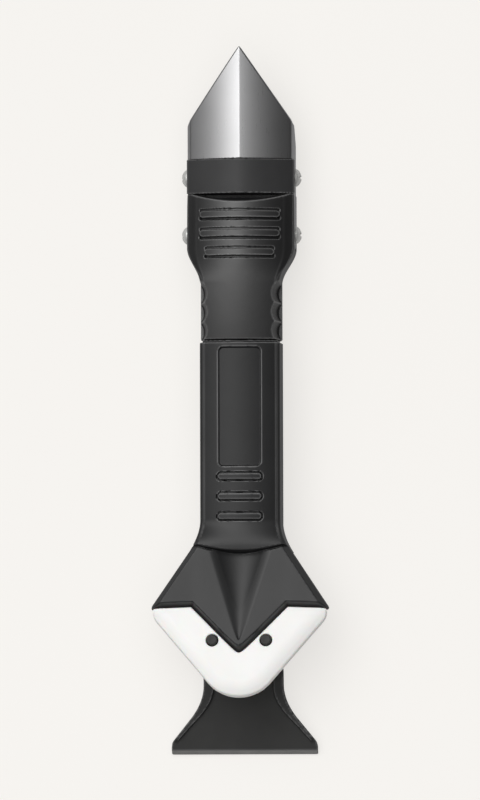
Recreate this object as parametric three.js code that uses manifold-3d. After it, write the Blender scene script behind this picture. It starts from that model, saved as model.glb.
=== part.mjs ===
// Three-in-one sealant tool lying on its back: a folded steel scraper blade in a pull-off cap,
// a hollow two-shell handle, a tilted arrow-shaped head with a silicone finishing pad, and a
// flared plastic scraper behind it.
// Millimetres. X across the tool, Y towards the steel point, Z up out of the front face.
// Lengths along Y are measured from the top end of the handle, where the cap meets it.
import * as THREE from "three";
import { mergeVertices } from "three/addons/utils/BufferGeometryUtils.js";
import Module from "manifold-3d";

const wasm = await Module();
wasm.setup();

// Lengths along the tool, from the steel point to the heel
const BLADE_LENGTH = 34.2; // steel roof in front of the band
const BLADE_POINT = 23.3; // the tapering part of the roof
const BAND_LENGTH = 10.6; // black band between the roof and the cap
const CAP_LENGTH = 44.5;
const SEAM_GAP = 0.9; // between the cap and the handle
const HANDLE_LENGTH = 62.1; // from the seam to the crease at the head
const REAR_REACH = 62.7; // from the crease to the edge of the rear scraper

// Widths and heights
const CAP_HALF = 16.3; // half width over the blade arms
const CAP_HEIGHT = 23.5;
const HANDLE_HALF = 12.5;
const HANDLE_HEIGHT = 22;
const PARTING_HEIGHT = 11; // plane where the two handle shells meet
const RIDGE_HEIGHT = 20; // folded edge of the steel roof
const CLEARANCE = 0.3; // between pieces that slide, drop in or lie in the tilted head
const SHEET = 1; // steel thickness
const WALL = 2.2; // handle shell walls
const FIT = 0.1; // round a screw or a peg in its hole

// Section of the handle and of the neck of the cap
const FLANK_INSET = 1.35; // the flanks lean in from the parting plane to the front face
const BACK_RUN = 3.8; // rounded edge of the back, measured across the tool
const FRONT_DROP = 2; // from the middle of the domed front to its edges

// Section of the wide part of the cap
const WIDE_INSET = 0.6;
const WIDE_BACK_RUN = 4.8;
const WIDE_ROUND = 5; // rounded edge of the back, measured upwards
const WIDE_DROP = 8;
const NECK_UNDERCUT = 0.1; // the neck of the cap is this much slimmer than the handle
const TAPER_START = 8.7; // from the top of the bulkhead down to the start of the taper
const TAPER_LENGTH = 11;
const MOUTH_SLANT = 0.3; // the mouth of the cap leans back above the foot of the slant
const MOUTH_FOOT = 13.5;

// Folded steel roof
const ROOF_SLOPE = 0.16; // at the ridge
const ROOF_CURVE = 0.0148; // steepening away from the ridge
const BEND_RUN = 1.1; // rounded fold between a face and an arm
const BEND_DROP = 1.3;

// Blade arms and their screws
const ARM_LOW = 4.8;
const ARM_TOP = 13;
const FRONT_SCREW_BACK = 5.4; // front screws, behind the end of the band
const SCREW_PITCH = 17.5; // from the front to the rear screws
const ARM_TAIL = 0.3; // from the rear screws back to the centre of the rounded end
const ARM_SLANT = 6.2; // slanted front end of an arm
const ARM_STEP = 0.5; // from the top of the slant to the top of the arm
const BLADE_SCREW = { head: 2.8, rise: 2, shank: 1.45, length: 7 };

// Plastic holder under the steel roof, with its band and tail
const HOLDER_BACK = 14.5; // from the steel point to the front of the holder
const HOLDER_NOSE = 6.5; // half width of its front
const HOLDER_TAPER = 0.7; // half width lost for each millimetre towards the front
const HOLDER_LOW = 3.5;
const HOLDER_BEVEL = 2.7; // its underside slants up from here in front of the band
const HOLDER_CHIN = 11; // height of the slant at the front
const BAND_INSET = 0.1;
const GROOVE_LENGTH = 1.6; // dark groove round the band at the mouth of the cap
const GROOVE_DEPTH = 1.4;
const TAIL_HALF = 12.5;
const TAIL_LOW = 4;
const TAIL_TOP = 17.5;
const TAIL_ROUND = 2;

// Spigot of the handle, which the cap slides over
const SPIGOT_LENGTH = 22;
const SPIGOT_HALF = 9.2;
const SPIGOT_LOW = 3.2;
const SPIGOT_TOP = 18.6;
const SPIGOT_WALL = 1.6;
const SPIGOT_ROUND = 3;
const SOCKET_PLAY = 1.8; // past the end of the spigot
const BULKHEAD = 2; // wall in the cap between its socket and the blade holder

// Raised and sunk details of the front face
const BAR_HEIGHT = 0.8;
const BAR_WIDTH = 2.1;
const BAR_HALF = 6.9;
const BAR_PITCH = 6.05;
const PANEL_HALF = 6.6;
const PANEL_DEPTH = 0.5;
const CAP_RIDGE_PITCH = 5.8;
const CAP_RIDGE_HALF = 12.2;
const CAP_RIDGE_BACK = 6.4; // from the mouth of the cap to its first ridge
const LAST_RIDGE_CUT = 1.6; // the last ridge is shorter by this at each end
const SCALLOP_PITCH = 5.6;
const SCALLOP_DEPTH = 1;
const SCALLOP_FIRST = 2.1; // middle of the first scallop from the end of the cap
const PANEL_TOP = 1.3; // from the seam
const PANEL_BOTTOM = 24.3; // from the crease
const PANEL_ROUND = 1.5;
const BAR_FIRST = 9.2; // from the crease to the nearest bar

// Front of the handle where it meets the head
const FLARE_RUN = 7;
const RAMP_RUN = 8.3;
const RAMP_DROP = 0.4; // dome of the front face at the crease
const CREASE_SIDE = 1; // the crease runs in a bow from here at the sides
const CREASE_BOW = 2.6; // to below the middle

// Inside of the handle
const COLLAR = 4; // solid collar inside the upper end
const CAVITY_BACK = 6; // from the crease to the end of the hollow
const BOSS_RADIUS = 3;
const SEAT_RADIUS = 4.4;

// Tilted head with the silicone pad
const HEAD_TILT = (12 * Math.PI) / 180;
const HEAD_RISE = 22.2; // front face of the arrow at the crease
const HEAD_STEP = 1.2; // drop from the ramp of the handle to the arrow
const ARROW_HALF = 26.95;
const ARROW_ROOT = 14.4;
const ARROW_THICK = 6;
const ARROW_SIDE = 18.5; // crease to the lower edge of the wings
const ARROW_APEX = 32.6;
const ARROW_NOTCH = 14.6; // half width where the lower edge turns down to the apex
const ARROW_CHAMFER = 1;
const TIP_FLAT = 0.9; // blunted wing tips
const APEX_FLAT = 0.8; // half width of the blunted apex
const NOTCH_RISE = 0.4; // inner end of a wing's lower edge above its outer end
const ROOT_HALF = 12; // block under the arrow
const ROOT_END_HALF = 10.5;
const ROOT_LENGTH = 13.9;
const GUTTER_HALF = 8.2;
const GUTTER_DEPTH = 2.2;
const GUTTER_LENGTH = 28.5;
const PAD_STEP = 1.6; // front of the pad below the front of the arrow
const PAD_HALF = 26.4;
const PAD_REACH = 45.8;
const PAD_NOSE = 12.3;
const PAD_FLANK = (50 * Math.PI) / 180;
const SUPPORT_THICK = 2.7;
const SUPPORT_INSET = 5;
const TONGUE_HALF = 8.3;
const PEG_RADIUS = 1.6;
const PEG_SPREAD = 8.15;
const PEG_REACH = 28.8;
const PEG_PROUD = 0.8;
const PEG_SEAT = 2.2; // depth of a peg in the support
const TONGUE_TOP = 4; // from the crease to the end of the support's tongue
const SUPPORT_SHOULDER = 13.4; // from the crease to the wide part of the support
const SUPPORT_SIDE = 1.4; // its outer corners above the lower edge of the wings

// Rear scraper
const SCRAPER_SLOPE = 0.21;
const SCRAPER_THICK = 2.25;
const SCRAPER_HALF = 22.3;
const SCRAPER_NECK = 12.1;
const SCRAPER_LAND = 3.8; // straight sides at the heel
const FLARE_LENGTH = 15;
const EDGE_BEVEL = 1.1;
const EDGE_THICK = 0.8;
const BELLY_RISE = 6.6;
const BELLY_START = 3.2; // behind the crease
const BELLY_LENGTH = 24;
const RIB_HEIGHT = 1.2;
const RIB_WIDTH = 1.8;
const FLARE_SHOULDER = 2.2; // half width past the neck where the straight flare begins
const FLARE_CURVE = 4.6; // length of the curve between the neck and the straight flare

// Screws that clamp the two shells, driven from the back
const HANDLE_SCREW = { head: 2.5, rise: 1.8, shank: 1.2, length: 15 };
const HANDLE_SCREW_X = 7.2;
const LOWER_SCREW_X = 5.6;
const HANDLE_SCREW_SEAT = 4;
const UPPER_SCREW_FROM_CREASE = 16.8;
const LOWER_SCREW_FROM_CREASE = 8.9;

const CAP_END = SEAM_GAP + CAP_LENGTH;
const BAND_END = CAP_END + BAND_LENGTH;
const TIP = BAND_END + BLADE_LENGTH;
const SHOULDER = TIP - BLADE_POINT;
const CREASE = -HANDLE_LENGTH;
const HEEL = CREASE - REAR_REACH;
const BULKHEAD_TOP = SEAM_GAP + SPIGOT_LENGTH + SOCKET_PLAY + BULKHEAD;

const ARC = 5; // facets in the rounded lower side of a section
const DOME = 4; // facets in half of a domed front
const ROUND = 16; // facets in a full circle

// A three.js geometry, moved by an optional matrix, as a manifold-3d solid.
function solid(geometry, matrix = new THREE.Matrix4()) {
  const moved = geometry.clone().applyMatrix4(matrix);
  moved.deleteAttribute("normal");
  moved.deleteAttribute("uv");
  const merged = mergeVertices(moved, 1e-4);
  const kept = [];
  for (let i = 0; i < merged.index.count; i += 3) {
    const [a, b, c] = [merged.index.getX(i), merged.index.getX(i + 1), merged.index.getX(i + 2)];
    if (a !== b && b !== c && c !== a) kept.push(a, b, c);
  }
  return new wasm.Manifold(
    new wasm.Mesh({
      numProp: 3,
      vertProperties: merged.attributes.position.array,
      triVerts: new Uint32Array(kept),
    }),
  );
}

function geometryOf(body) {
  const mesh = body.getMesh();
  const geometry = new THREE.BufferGeometry();
  geometry.setAttribute("position", new THREE.BufferAttribute(new Float32Array(mesh.vertProperties), 3));
  geometry.setIndex(new THREE.BufferAttribute(new Uint32Array(mesh.triVerts), 1));
  return geometry;
}

const union = (...bodies) => bodies.reduce((sum, body) => sum.add(body));
const cut = (body, ...tools) => tools.reduce((rest, tool) => rest.subtract(tool), body);
const smoothstep = (t) => {
  const u = Math.min(1, Math.max(0, t));
  return u * u * (3 - 2 * u);
};
const mix = (a, b, t) => a + (b - a) * t;
const mirrored = (points) => points.map(([x, y]) => [-x, y]).reverse();
const shapeOf = (points) => new THREE.Shape(points.map(([x, y]) => new THREE.Vector2(x, y)));

// An outline in X and Y, from z0 up to z1.
function plate(outline, z0, z1, matrix) {
  const geometry = new THREE.ExtrudeGeometry(outline, {
    depth: z1 - z0,
    bevelEnabled: false,
    curveSegments: 8,
  });
  return solid(geometry.translate(0, 0, z0), matrix);
}

// An outline in X and Z, from y0 up to y1.
function along(outline, y0, y1) {
  const geometry = new THREE.ExtrudeGeometry(outline, {
    depth: y1 - y0,
    bevelEnabled: false,
    curveSegments: 4,
  });
  return solid(geometry.rotateX(Math.PI / 2).translate(0, y1, 0));
}

// An outline in Y and Z, across the tool from -half to half.
function across(outline, half) {
  const geometry = new THREE.ExtrudeGeometry(outline, {
    depth: 2 * half,
    bevelEnabled: false,
    curveSegments: 6,
  });
  geometry.rotateX(Math.PI / 2).rotateZ(Math.PI / 2);
  return solid(geometry.translate(-half, 0, 0));
}

function block(x0, x1, y0, y1, z0, z1, matrix) {
  const geometry = new THREE.BoxGeometry(x1 - x0, y1 - y0, z1 - z0);
  return solid(geometry.translate((x0 + x1) / 2, (y0 + y1) / 2, (z0 + z1) / 2), matrix);
}

// A pin along Z.
function pin(radius, x, y, z0, z1, matrix) {
  const geometry = new THREE.CylinderGeometry(radius, radius, z1 - z0, ROUND);
  geometry.rotateX(Math.PI / 2);
  return solid(geometry.translate(x, y, (z0 + z1) / 2), matrix);
}

// A skin through one section per station, the stations listed from high Y to low Y.
function loft(stations, sectionAt) {
  const sections = stations.map(sectionAt);
  const placeOf = (x, z) => sections[0].findIndex(([a, b]) => Math.hypot(a - x, b - z) < 1e-3);
  const geometry = new THREE.ExtrudeGeometry(shapeOf(sections[0]), {
    depth: stations.length - 1,
    steps: stations.length - 1,
    bevelEnabled: false,
  });
  const corner = geometry.attributes.position;
  for (let i = 0; i < corner.count; i += 1) {
    const layer = Math.round(corner.getZ(i));
    const [x, z] = sections[layer][placeOf(corner.getX(i), corner.getY(i))];
    corner.setXYZ(i, x, stations[layer], z);
  }
  return solid(geometry);
}

const steps = (from, to, count) =>
  Array.from({ length: count + 1 }, (_, i) => mix(from, to, i / count));

// Flat back, rounded lower sides, straight upper sides and a domed front.
function domed({ half, backFlat, low, inset, crown, drop, base = 0 }) {
  const side = [];
  for (let i = 0; i <= ARC; i += 1) {
    const t = ((i / ARC) * Math.PI) / 2;
    side.push([backFlat + (half - backFlat) * Math.sin(t), base + low * (1 - Math.cos(t))]);
  }
  for (let i = 0; i < DOME; i += 1) {
    const u = 1 - i / DOME;
    side.push([(half - inset) * u, crown - drop * u * u]);
  }
  return [...side, [0, crown], ...mirrored(side)];
}

// A stadium across the tool, for bars and ridges.
function pill(half, y, width) {
  const shape = new THREE.Shape();
  const r = width / 2;
  shape.absarc(half - r, y, r, -Math.PI / 2, Math.PI / 2, false);
  shape.absarc(-half + r, y, r, Math.PI / 2, (3 * Math.PI) / 2, false);
  return shape;
}

function roundedBox(x0, x1, y0, y1, r) {
  const shape = new THREE.Shape();
  shape.absarc(x1 - r, y0 + r, r, -Math.PI / 2, 0, false);
  shape.absarc(x1 - r, y1 - r, r, 0, Math.PI / 2, false);
  shape.absarc(x0 + r, y1 - r, r, Math.PI / 2, Math.PI, false);
  shape.absarc(x0 + r, y0 + r, r, Math.PI, (3 * Math.PI) / 2, false);
  return shape;
}

// Round-head screw along +Z: seat at z = 0, head above it, cross recess in the head.
function screw({ head, rise, shank, length }) {
  const profile = [
    [0, -length],
    [shank, -length],
    [shank, 0],
    [head, 0],
    [head, rise * 0.35],
    [head * 0.87, rise * 0.7],
    [head * 0.6, rise * 0.92],
    [0, rise],
  ];
  const geometry = new THREE.LatheGeometry(
    profile.map(([r, y]) => new THREE.Vector2(r, y)),
    ROUND,
  );
  const body = solid(geometry.rotateX(Math.PI / 2));
  const slot = head * 0.14;
  const reach = head * 0.58;
  return cut(
    body,
    block(-reach, reach, -slot, slot, rise * 0.5, rise + 1),
    block(-slot, slot, -reach, reach, rise * 0.5, rise + 1),
  );
}

const plastic = (color) =>
  new THREE.MeshStandardMaterial({ color, roughness: 0.5, metalness: 0, side: THREE.DoubleSide });
const steel = (color, roughness) =>
  new THREE.MeshStandardMaterial({ color, roughness, metalness: 1, side: THREE.DoubleSide });

function addPiece(parent, name, body, material) {
  const mesh = new THREE.Mesh(geometryOf(body), material);
  mesh.name = name;
  parent.add(mesh);
  return mesh;
}

const tool = new THREE.Group();
tool.position.y = -(TIP + HEEL) / 2;

const head = new THREE.Group();
head.position.set(0, CREASE, HEAD_RISE);
head.rotation.x = -HEAD_TILT;
head.updateMatrix();
tool.add(head);

// ---------------------------------------------------------------- steel blade

const roofHeight = (x) => RIDGE_HEIGHT - ROOF_SLOPE * Math.abs(x) - ROOF_CURVE * x * x;

// Right half of the folded sheet from the ridge to the foot of the arm, set in by a distance.
function sheetSide(inset, foot) {
  const shoulderX = CAP_HALF - BEND_RUN;
  const shoulderZ = roofHeight(shoulderX);
  const outside = [
    ...steps(0, shoulderX, 6).map((x) => [x, roofHeight(x)]),
    [CAP_HALF - 0.27 * BEND_RUN, shoulderZ - 0.42 * BEND_DROP],
    [CAP_HALF, shoulderZ - BEND_DROP],
    [CAP_HALF, foot],
  ];
  return outside.map(([x, z], i) => {
    const before = outside[Math.max(0, i - 1)];
    const after = outside[Math.min(outside.length - 1, i + 1)];
    const unit = ([x0, z0], [x1, z1]) => {
      const span = Math.hypot(x1 - x0, z1 - z0);
      return [(z1 - z0) / span, (x0 - x1) / span];
    };
    if (i === 0) return [0, z - inset / Math.cos(Math.atan(ROOF_SLOPE))];
    if (i === outside.length - 1) return [x - inset, z];
    const [a, b] = [unit(before, [x, z]), unit([x, z], after)];
    const grow = inset / (1 + a[0] * b[0] + a[1] * b[1]);
    return [x + (a[0] + b[0]) * grow, z + (a[1] + b[1]) * grow];
  });
}

const whole = (side) => [...mirrored(side), ...side.slice(1)];

const frontScrewY = BAND_END - FRONT_SCREW_BACK;
const rearScrewY = frontScrewY - SCREW_PITCH;
const armRound = (ARM_TOP - ARM_LOW) / 2;
const armEnd = rearScrewY - armRound - ARM_TAIL;
const screwZ = ARM_LOW + armRound;

function bladeSolid() {
  const outside = whole(sheetSide(0, ARM_LOW));
  const inside = whole(sheetSide(SHEET, ARM_LOW)).reverse();
  const folded = along(shapeOf([...outside, ...inside]), armEnd - 1, TIP + 1);
  const plan = shapeOf([
    [-CAP_HALF - 1, armEnd - 1],
    [CAP_HALF + 1, armEnd - 1],
    [CAP_HALF + 1, SHOULDER],
    [CAP_HALF, SHOULDER],
    [0, TIP],
    [-CAP_HALF, SHOULDER],
    [-CAP_HALF - 1, SHOULDER],
  ]);
  const side = new THREE.Shape();
  side.moveTo(BAND_END, RIDGE_HEIGHT + 5);
  side.lineTo(BAND_END, ARM_TOP);
  side.lineTo(armEnd + armRound, ARM_TOP);
  side.absarc(armEnd + armRound, screwZ, armRound, Math.PI / 2, (3 * Math.PI) / 2, false);
  side.lineTo(SHOULDER - ARM_SLANT, ARM_LOW);
  side.lineTo(SHOULDER, ARM_TOP - ARM_STEP);
  side.lineTo(TIP + 1, ARM_TOP - ARM_STEP);
  side.lineTo(TIP + 1, RIDGE_HEIGHT + 5);
  let blade = folded.intersect(plate(plan, 0, 40)).intersect(across(side, CAP_HALF + 2));
  for (const y of [frontScrewY, rearScrewY]) {
    const turn = new THREE.Matrix4().makeRotationY(Math.PI / 2).setPosition(0, y, screwZ);
    blade = cut(blade, pin(BLADE_SCREW.shank + FIT, 0, 0, -CAP_HALF - 2, CAP_HALF + 2, turn));
  }
  return blade;
}

addPiece(tool, "blade", bladeSolid(), steel(0xb9bcc0, 0.28));

// ---------------------------------------------------------------- blade holder

const holderEnd = TIP - HOLDER_BACK;

function holderSolid() {
  const core = whole(sheetSide(SHEET + CLEARANCE, HOLDER_LOW));
  const coreBody = along(shapeOf(core), CAP_END + CLEARANCE, holderEnd);
  const coreHalf = CAP_HALF - SHEET - CLEARANCE;
  const taper = (coreHalf - HOLDER_NOSE) / HOLDER_TAPER;
  const plan = shapeOf([
    [-coreHalf - 1, CAP_END],
    [coreHalf + 1, CAP_END],
    [coreHalf + 1, holderEnd - taper],
    [coreHalf, holderEnd - taper],
    [HOLDER_NOSE, holderEnd],
    [-HOLDER_NOSE, holderEnd],
    [-coreHalf, holderEnd - taper],
    [-coreHalf - 1, holderEnd - taper],
  ]);
  const side = shapeOf([
    [CAP_END, 0],
    [BAND_END + HOLDER_BEVEL, 0],
    [BAND_END + HOLDER_BEVEL, HOLDER_LOW],
    [holderEnd + 0.5, HOLDER_CHIN],
    [holderEnd + 0.5, 30],
    [CAP_END, 30],
  ]);
  const under = coreBody.intersect(plate(plan, 0, 40)).intersect(across(side, CAP_HALF + 2));
  const bandHalf = CAP_HALF - BAND_INSET;
  const bandEnd = BAND_END - CLEARANCE;
  const bandSection = whole(sheetSide(0, ARM_LOW));
  const band = along(shapeOf(bandSection), CAP_END + CLEARANCE, bandEnd).intersect(
    block(-bandHalf, bandHalf, CAP_END, BAND_END, ARM_TOP + CLEARANCE, 40),
  );
  const sunk = whole(sheetSide(GROOVE_DEPTH, 0));
  const groove = cut(
    block(-CAP_HALF, CAP_HALF, CAP_END, CAP_END + GROOVE_LENGTH, 0, 40),
    along(shapeOf(sunk), CAP_END - 1, CAP_END + 3),
  );
  const tailOutline = roundedBox(-TAIL_HALF, TAIL_HALF, TAIL_LOW, TAIL_TOP, TAIL_ROUND);
  const tail = along(tailOutline, BULKHEAD_TOP + CLEARANCE, CAP_END + 4).intersect(
    along(shapeOf(sunk), 0, CAP_END + 5),
  );
  let holder = union(under, cut(band, groove), tail);
  const tipX = CAP_HALF - BLADE_SCREW.length - 0.5;
  for (const y of [frontScrewY, rearScrewY]) {
    for (const sign of [-1, 1]) {
      const turn = new THREE.Matrix4().makeRotationY((sign * Math.PI) / 2).setPosition(0, y, screwZ);
      holder = cut(holder, pin(BLADE_SCREW.shank + FIT, 0, 0, tipX, CAP_HALF + 2, turn));
    }
  }
  return holder;
}

addPiece(tool, "blade_holder", holderSolid(), plastic(0x26272a));

// ---------------------------------------------------------------- blade screws

const sides = [
  ["left", -1],
  ["right", 1],
];
const rows = [
  ["front", frontScrewY],
  ["rear", rearScrewY],
];
for (const [row, y] of rows) {
  for (const [side, sign] of sides) {
    const piece = addPiece(
      tool,
      "blade_screw_" + row + "_" + side,
      screw(BLADE_SCREW),
      steel(0xc8c9cb, 0.3),
    );
    piece.position.set(sign * CAP_HALF, y, screwZ);
    piece.rotation.y = (sign * Math.PI) / 2;
  }
}

// ---------------------------------------------------------------- cap

const neckSection = {
  half: HANDLE_HALF - NECK_UNDERCUT,
  backFlat: HANDLE_HALF - NECK_UNDERCUT - BACK_RUN,
  low: PARTING_HEIGHT,
  inset: FLANK_INSET,
  crown: HANDLE_HEIGHT,
  drop: FRONT_DROP,
};
const wideSection = {
  half: CAP_HALF,
  backFlat: CAP_HALF - WIDE_BACK_RUN,
  low: WIDE_ROUND,
  inset: WIDE_INSET,
  crown: CAP_HEIGHT,
  drop: WIDE_DROP,
};
const neckTop = BULKHEAD_TOP - TAPER_START;
const wideStart = neckTop + TAPER_LENGTH;

function capSection(y, lift) {
  const t = smoothstep((y - neckTop) / (wideStart - neckTop));
  const section = {};
  for (const name of Object.keys(neckSection)) {
    section[name] = mix(neckSection[name], wideSection[name], t);
  }
  section.crown += lift;
  return domed(section);
}

function capSkin(lift) {
  const stations = [
    CAP_END + 1,
    wideStart + 6,
    ...steps(wideStart, neckTop, 8),
    neckTop / 2,
    SEAM_GAP,
  ];
  return loft(stations, (y) => capSection(y, lift));
}

function capSolid() {
  const over = CAP_HEIGHT + 2;
  const mouth = shapeOf([
    [CAP_END, -1],
    [CAP_END, MOUTH_FOOT],
    [CAP_END - MOUTH_SLANT * (over - MOUTH_FOOT), over],
    [CAP_END + 4, over],
    [CAP_END + 4, -1],
  ]);
  const ridges = [0, 1, 2].map((i) => {
    const half = CAP_RIDGE_HALF - (i === 2 ? LAST_RIDGE_CUT : 0);
    const y = CAP_END - CAP_RIDGE_BACK - i * CAP_RIDGE_PITCH;
    return plate(pill(half, y, BAR_WIDTH), 15, 30).intersect(capSkin(BAR_HEIGHT));
  });
  const nest = roundedBox(
    -TAIL_HALF - CLEARANCE,
    TAIL_HALF + CLEARANCE,
    TAIL_LOW - CLEARANCE,
    TAIL_TOP + CLEARANCE,
    TAIL_ROUND,
  );
  const socket = roundedBox(
    -SPIGOT_HALF - CLEARANCE,
    SPIGOT_HALF + CLEARANCE,
    SPIGOT_LOW - CLEARANCE,
    SPIGOT_TOP + CLEARANCE,
    SPIGOT_ROUND,
  );
  let cap = cut(
    union(capSkin(0), ...ridges),
    across(mouth, CAP_HALF + 2),
    along(nest, BULKHEAD_TOP, CAP_END + 5),
    along(socket, SEAM_GAP - 1, BULKHEAD_TOP - BULKHEAD),
  );
  const lean = Math.atan(FLANK_INSET / (HANDLE_HEIGHT - FRONT_DROP - PARTING_HEIGHT));
  const scoop = (SCALLOP_PITCH ** 2 / 4 + SCALLOP_DEPTH ** 2) / (2 * SCALLOP_DEPTH);
  const armLow = ARM_LOW - CLEARANCE;
  const armTop = ARM_TOP + CLEARANCE;
  const recess = roundedBox(armEnd - CLEARANCE, CAP_END + 5, armLow, armTop, armRound - 0.1);
  const depth = SHEET + CLEARANCE;
  for (const [, sign] of sides) {
    const window = across(recess, CAP_HALF + 2).intersect(
      block(sign * CAP_HALF - depth, sign * CAP_HALF + depth, 0, CAP_END + 5, 0, 30),
    );
    cap = cut(cap, window);
    const bore = new THREE.Matrix4().makeRotationY((sign * Math.PI) / 2);
    bore.setPosition(0, rearScrewY, screwZ);
    cap = cut(cap, pin(BLADE_SCREW.shank + FIT, 0, 0, SPIGOT_HALF, CAP_HALF + 2, bore));
    for (const i of [0, 1, 2]) {
      const y = SEAM_GAP + SCALLOP_FIRST + i * SCALLOP_PITCH;
      const x = sign * (neckSection.half - SCALLOP_DEPTH + scoop);
      const tilt = new THREE.Matrix4().makeRotationY(-sign * lean).setPosition(x, y, PARTING_HEIGHT);
      cap = cut(cap, pin(scoop, 0, 0, 1, 16, tilt));
    }
  }
  return cap;
}

addPiece(tool, "cap", capSolid(), plastic(0x1f2022));

// ---------------------------------------------------------------- handle shells

// Front of the handle: it ramps up and flares just before the crease.
function handleSection(y, lift) {
  const flare = smoothstep((CREASE + FLARE_RUN - y) / FLARE_RUN) ** 1.5;
  const ramp = smoothstep((CREASE + RAMP_RUN - y) / RAMP_RUN);
  return domed({
    half: mix(HANDLE_HALF, ARROW_ROOT, flare),
    backFlat: HANDLE_HALF - BACK_RUN,
    low: PARTING_HEIGHT,
    inset: FLANK_INSET,
    crown: mix(HANDLE_HEIGHT, HEAD_RISE + HEAD_STEP, ramp) + lift,
    drop: mix(FRONT_DROP, RAMP_DROP, ramp),
  });
}

function handleSkin(lift) {
  const stations = [0, CREASE + 2 * RAMP_RUN, ...steps(CREASE + RAMP_RUN, CREASE - 1, 6)];
  return loft(stations, (y) => handleSection(y, lift));
}

const above = block(-40, 40, HEEL - 5, TIP, PARTING_HEIGHT, 60);
const upperScrewY = CREASE + UPPER_SCREW_FROM_CREASE;
const lowerScrewY = CREASE - LOWER_SCREW_FROM_CREASE;
const screwPlaces = [
  [-HANDLE_SCREW_X, upperScrewY],
  [HANDLE_SCREW_X, upperScrewY],
  [-LOWER_SCREW_X, lowerScrewY],
  [LOWER_SCREW_X, lowerScrewY],
];

// The hollow inside both shells, and the bore of the spigot.
function hollow() {
  const room = domed({
    half: HANDLE_HALF - WALL,
    backFlat: HANDLE_HALF - 2.4 * WALL,
    low: PARTING_HEIGHT - WALL,
    inset: 1.1,
    crown: HANDLE_HEIGHT - 1.2 * WALL,
    drop: 1.2,
    base: WALL,
  });
  const bore = roundedBox(
    -SPIGOT_HALF + SPIGOT_WALL,
    SPIGOT_HALF - SPIGOT_WALL,
    SPIGOT_LOW + SPIGOT_WALL,
    SPIGOT_TOP - SPIGOT_WALL,
    SPIGOT_ROUND - SPIGOT_WALL,
  );
  return union(
    along(shapeOf(room), CREASE + CAVITY_BACK, -COLLAR),
    along(bore, -COLLAR - 1, SPIGOT_LENGTH + 1),
  );
}

function spigot() {
  const outline = roundedBox(-SPIGOT_HALF, SPIGOT_HALF, SPIGOT_LOW, SPIGOT_TOP, SPIGOT_ROUND);
  return along(outline, -COLLAR / 2, SPIGOT_LENGTH);
}

const apexV = -ARROW_APEX + 0.75 * APEX_FLAT;

// Right half of the arrow from the crease round the wing tip to the apex, in the frame of the head.
function arrowSide(inset) {
  return [
    [ARROW_ROOT - inset, 1],
    [ARROW_ROOT - inset, 0],
    [ARROW_HALF - TIP_FLAT - inset, -ARROW_SIDE + 1.9 * TIP_FLAT],
    [ARROW_HALF - 0.2 * TIP_FLAT - inset, -ARROW_SIDE + 0.7 * TIP_FLAT],
    [ARROW_HALF - TIP_FLAT - inset, -ARROW_SIDE + inset],
    [ARROW_NOTCH, -ARROW_SIDE + NOTCH_RISE + inset],
    [APEX_FLAT, apexV + inset],
  ];
}

const arrowOutline = (inset) => shapeOf([...mirrored(arrowSide(inset)), ...arrowSide(inset)]);

// Arrow of the head with chamfered edges and its tapering gutter, in the frame of the tool.
function arrowSolid() {
  const face = plate(arrowOutline(0), -ARROW_THICK, 0, head.matrix);
  const base = -ARROW_CHAMFER - 0.1;
  const crest = new THREE.ExtrudeGeometry(arrowOutline(ARROW_CHAMFER), {
    depth: 0.1,
    bevelEnabled: true,
    bevelThickness: ARROW_CHAMFER,
    bevelSize: ARROW_CHAMFER,
    bevelSegments: 1,
  });
  const chamfered = union(
    plate(arrowOutline(0), -ARROW_THICK, base, head.matrix),
    solid(crest.translate(0, 0, base), head.matrix).intersect(face),
  );
  const radius = (GUTTER_HALF ** 2 + GUTTER_DEPTH ** 2) / (2 * GUTTER_DEPTH);
  const rise = radius - GUTTER_DEPTH;
  const past = 1 + 2 / GUTTER_LENGTH;
  const cone = new THREE.CylinderGeometry(radius * past, 0.01, GUTTER_LENGTH * past, 2 * ROUND);
  cone.translate(0, (GUTTER_LENGTH * past) / 2, 0);
  const slant = new THREE.Matrix4().makeShear(0, 0, 0, rise / GUTTER_LENGTH, 0, 0);
  cone.applyMatrix4(slant).translate(0, -GUTTER_LENGTH, 0);
  return cut(chamfered, solid(cone, head.matrix));
}

// Solid root below the arrow, with the slot that holds the tongue of the pad support.
function headRoot() {
  const rootSide = [
    [ROOT_HALF, CREASE + 3],
    [ROOT_HALF, CREASE - ARROW_THICK],
    [ROOT_END_HALF, CREASE - ROOT_LENGTH],
  ];
  const outline = shapeOf([...mirrored(rootSide), ...rootSide]);
  const lid = block(-30, 30, -60, 20, -40, -ARROW_THICK + 2, head.matrix);
  return plate(outline, PARTING_HEIGHT, 40).intersect(lid);
}

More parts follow.
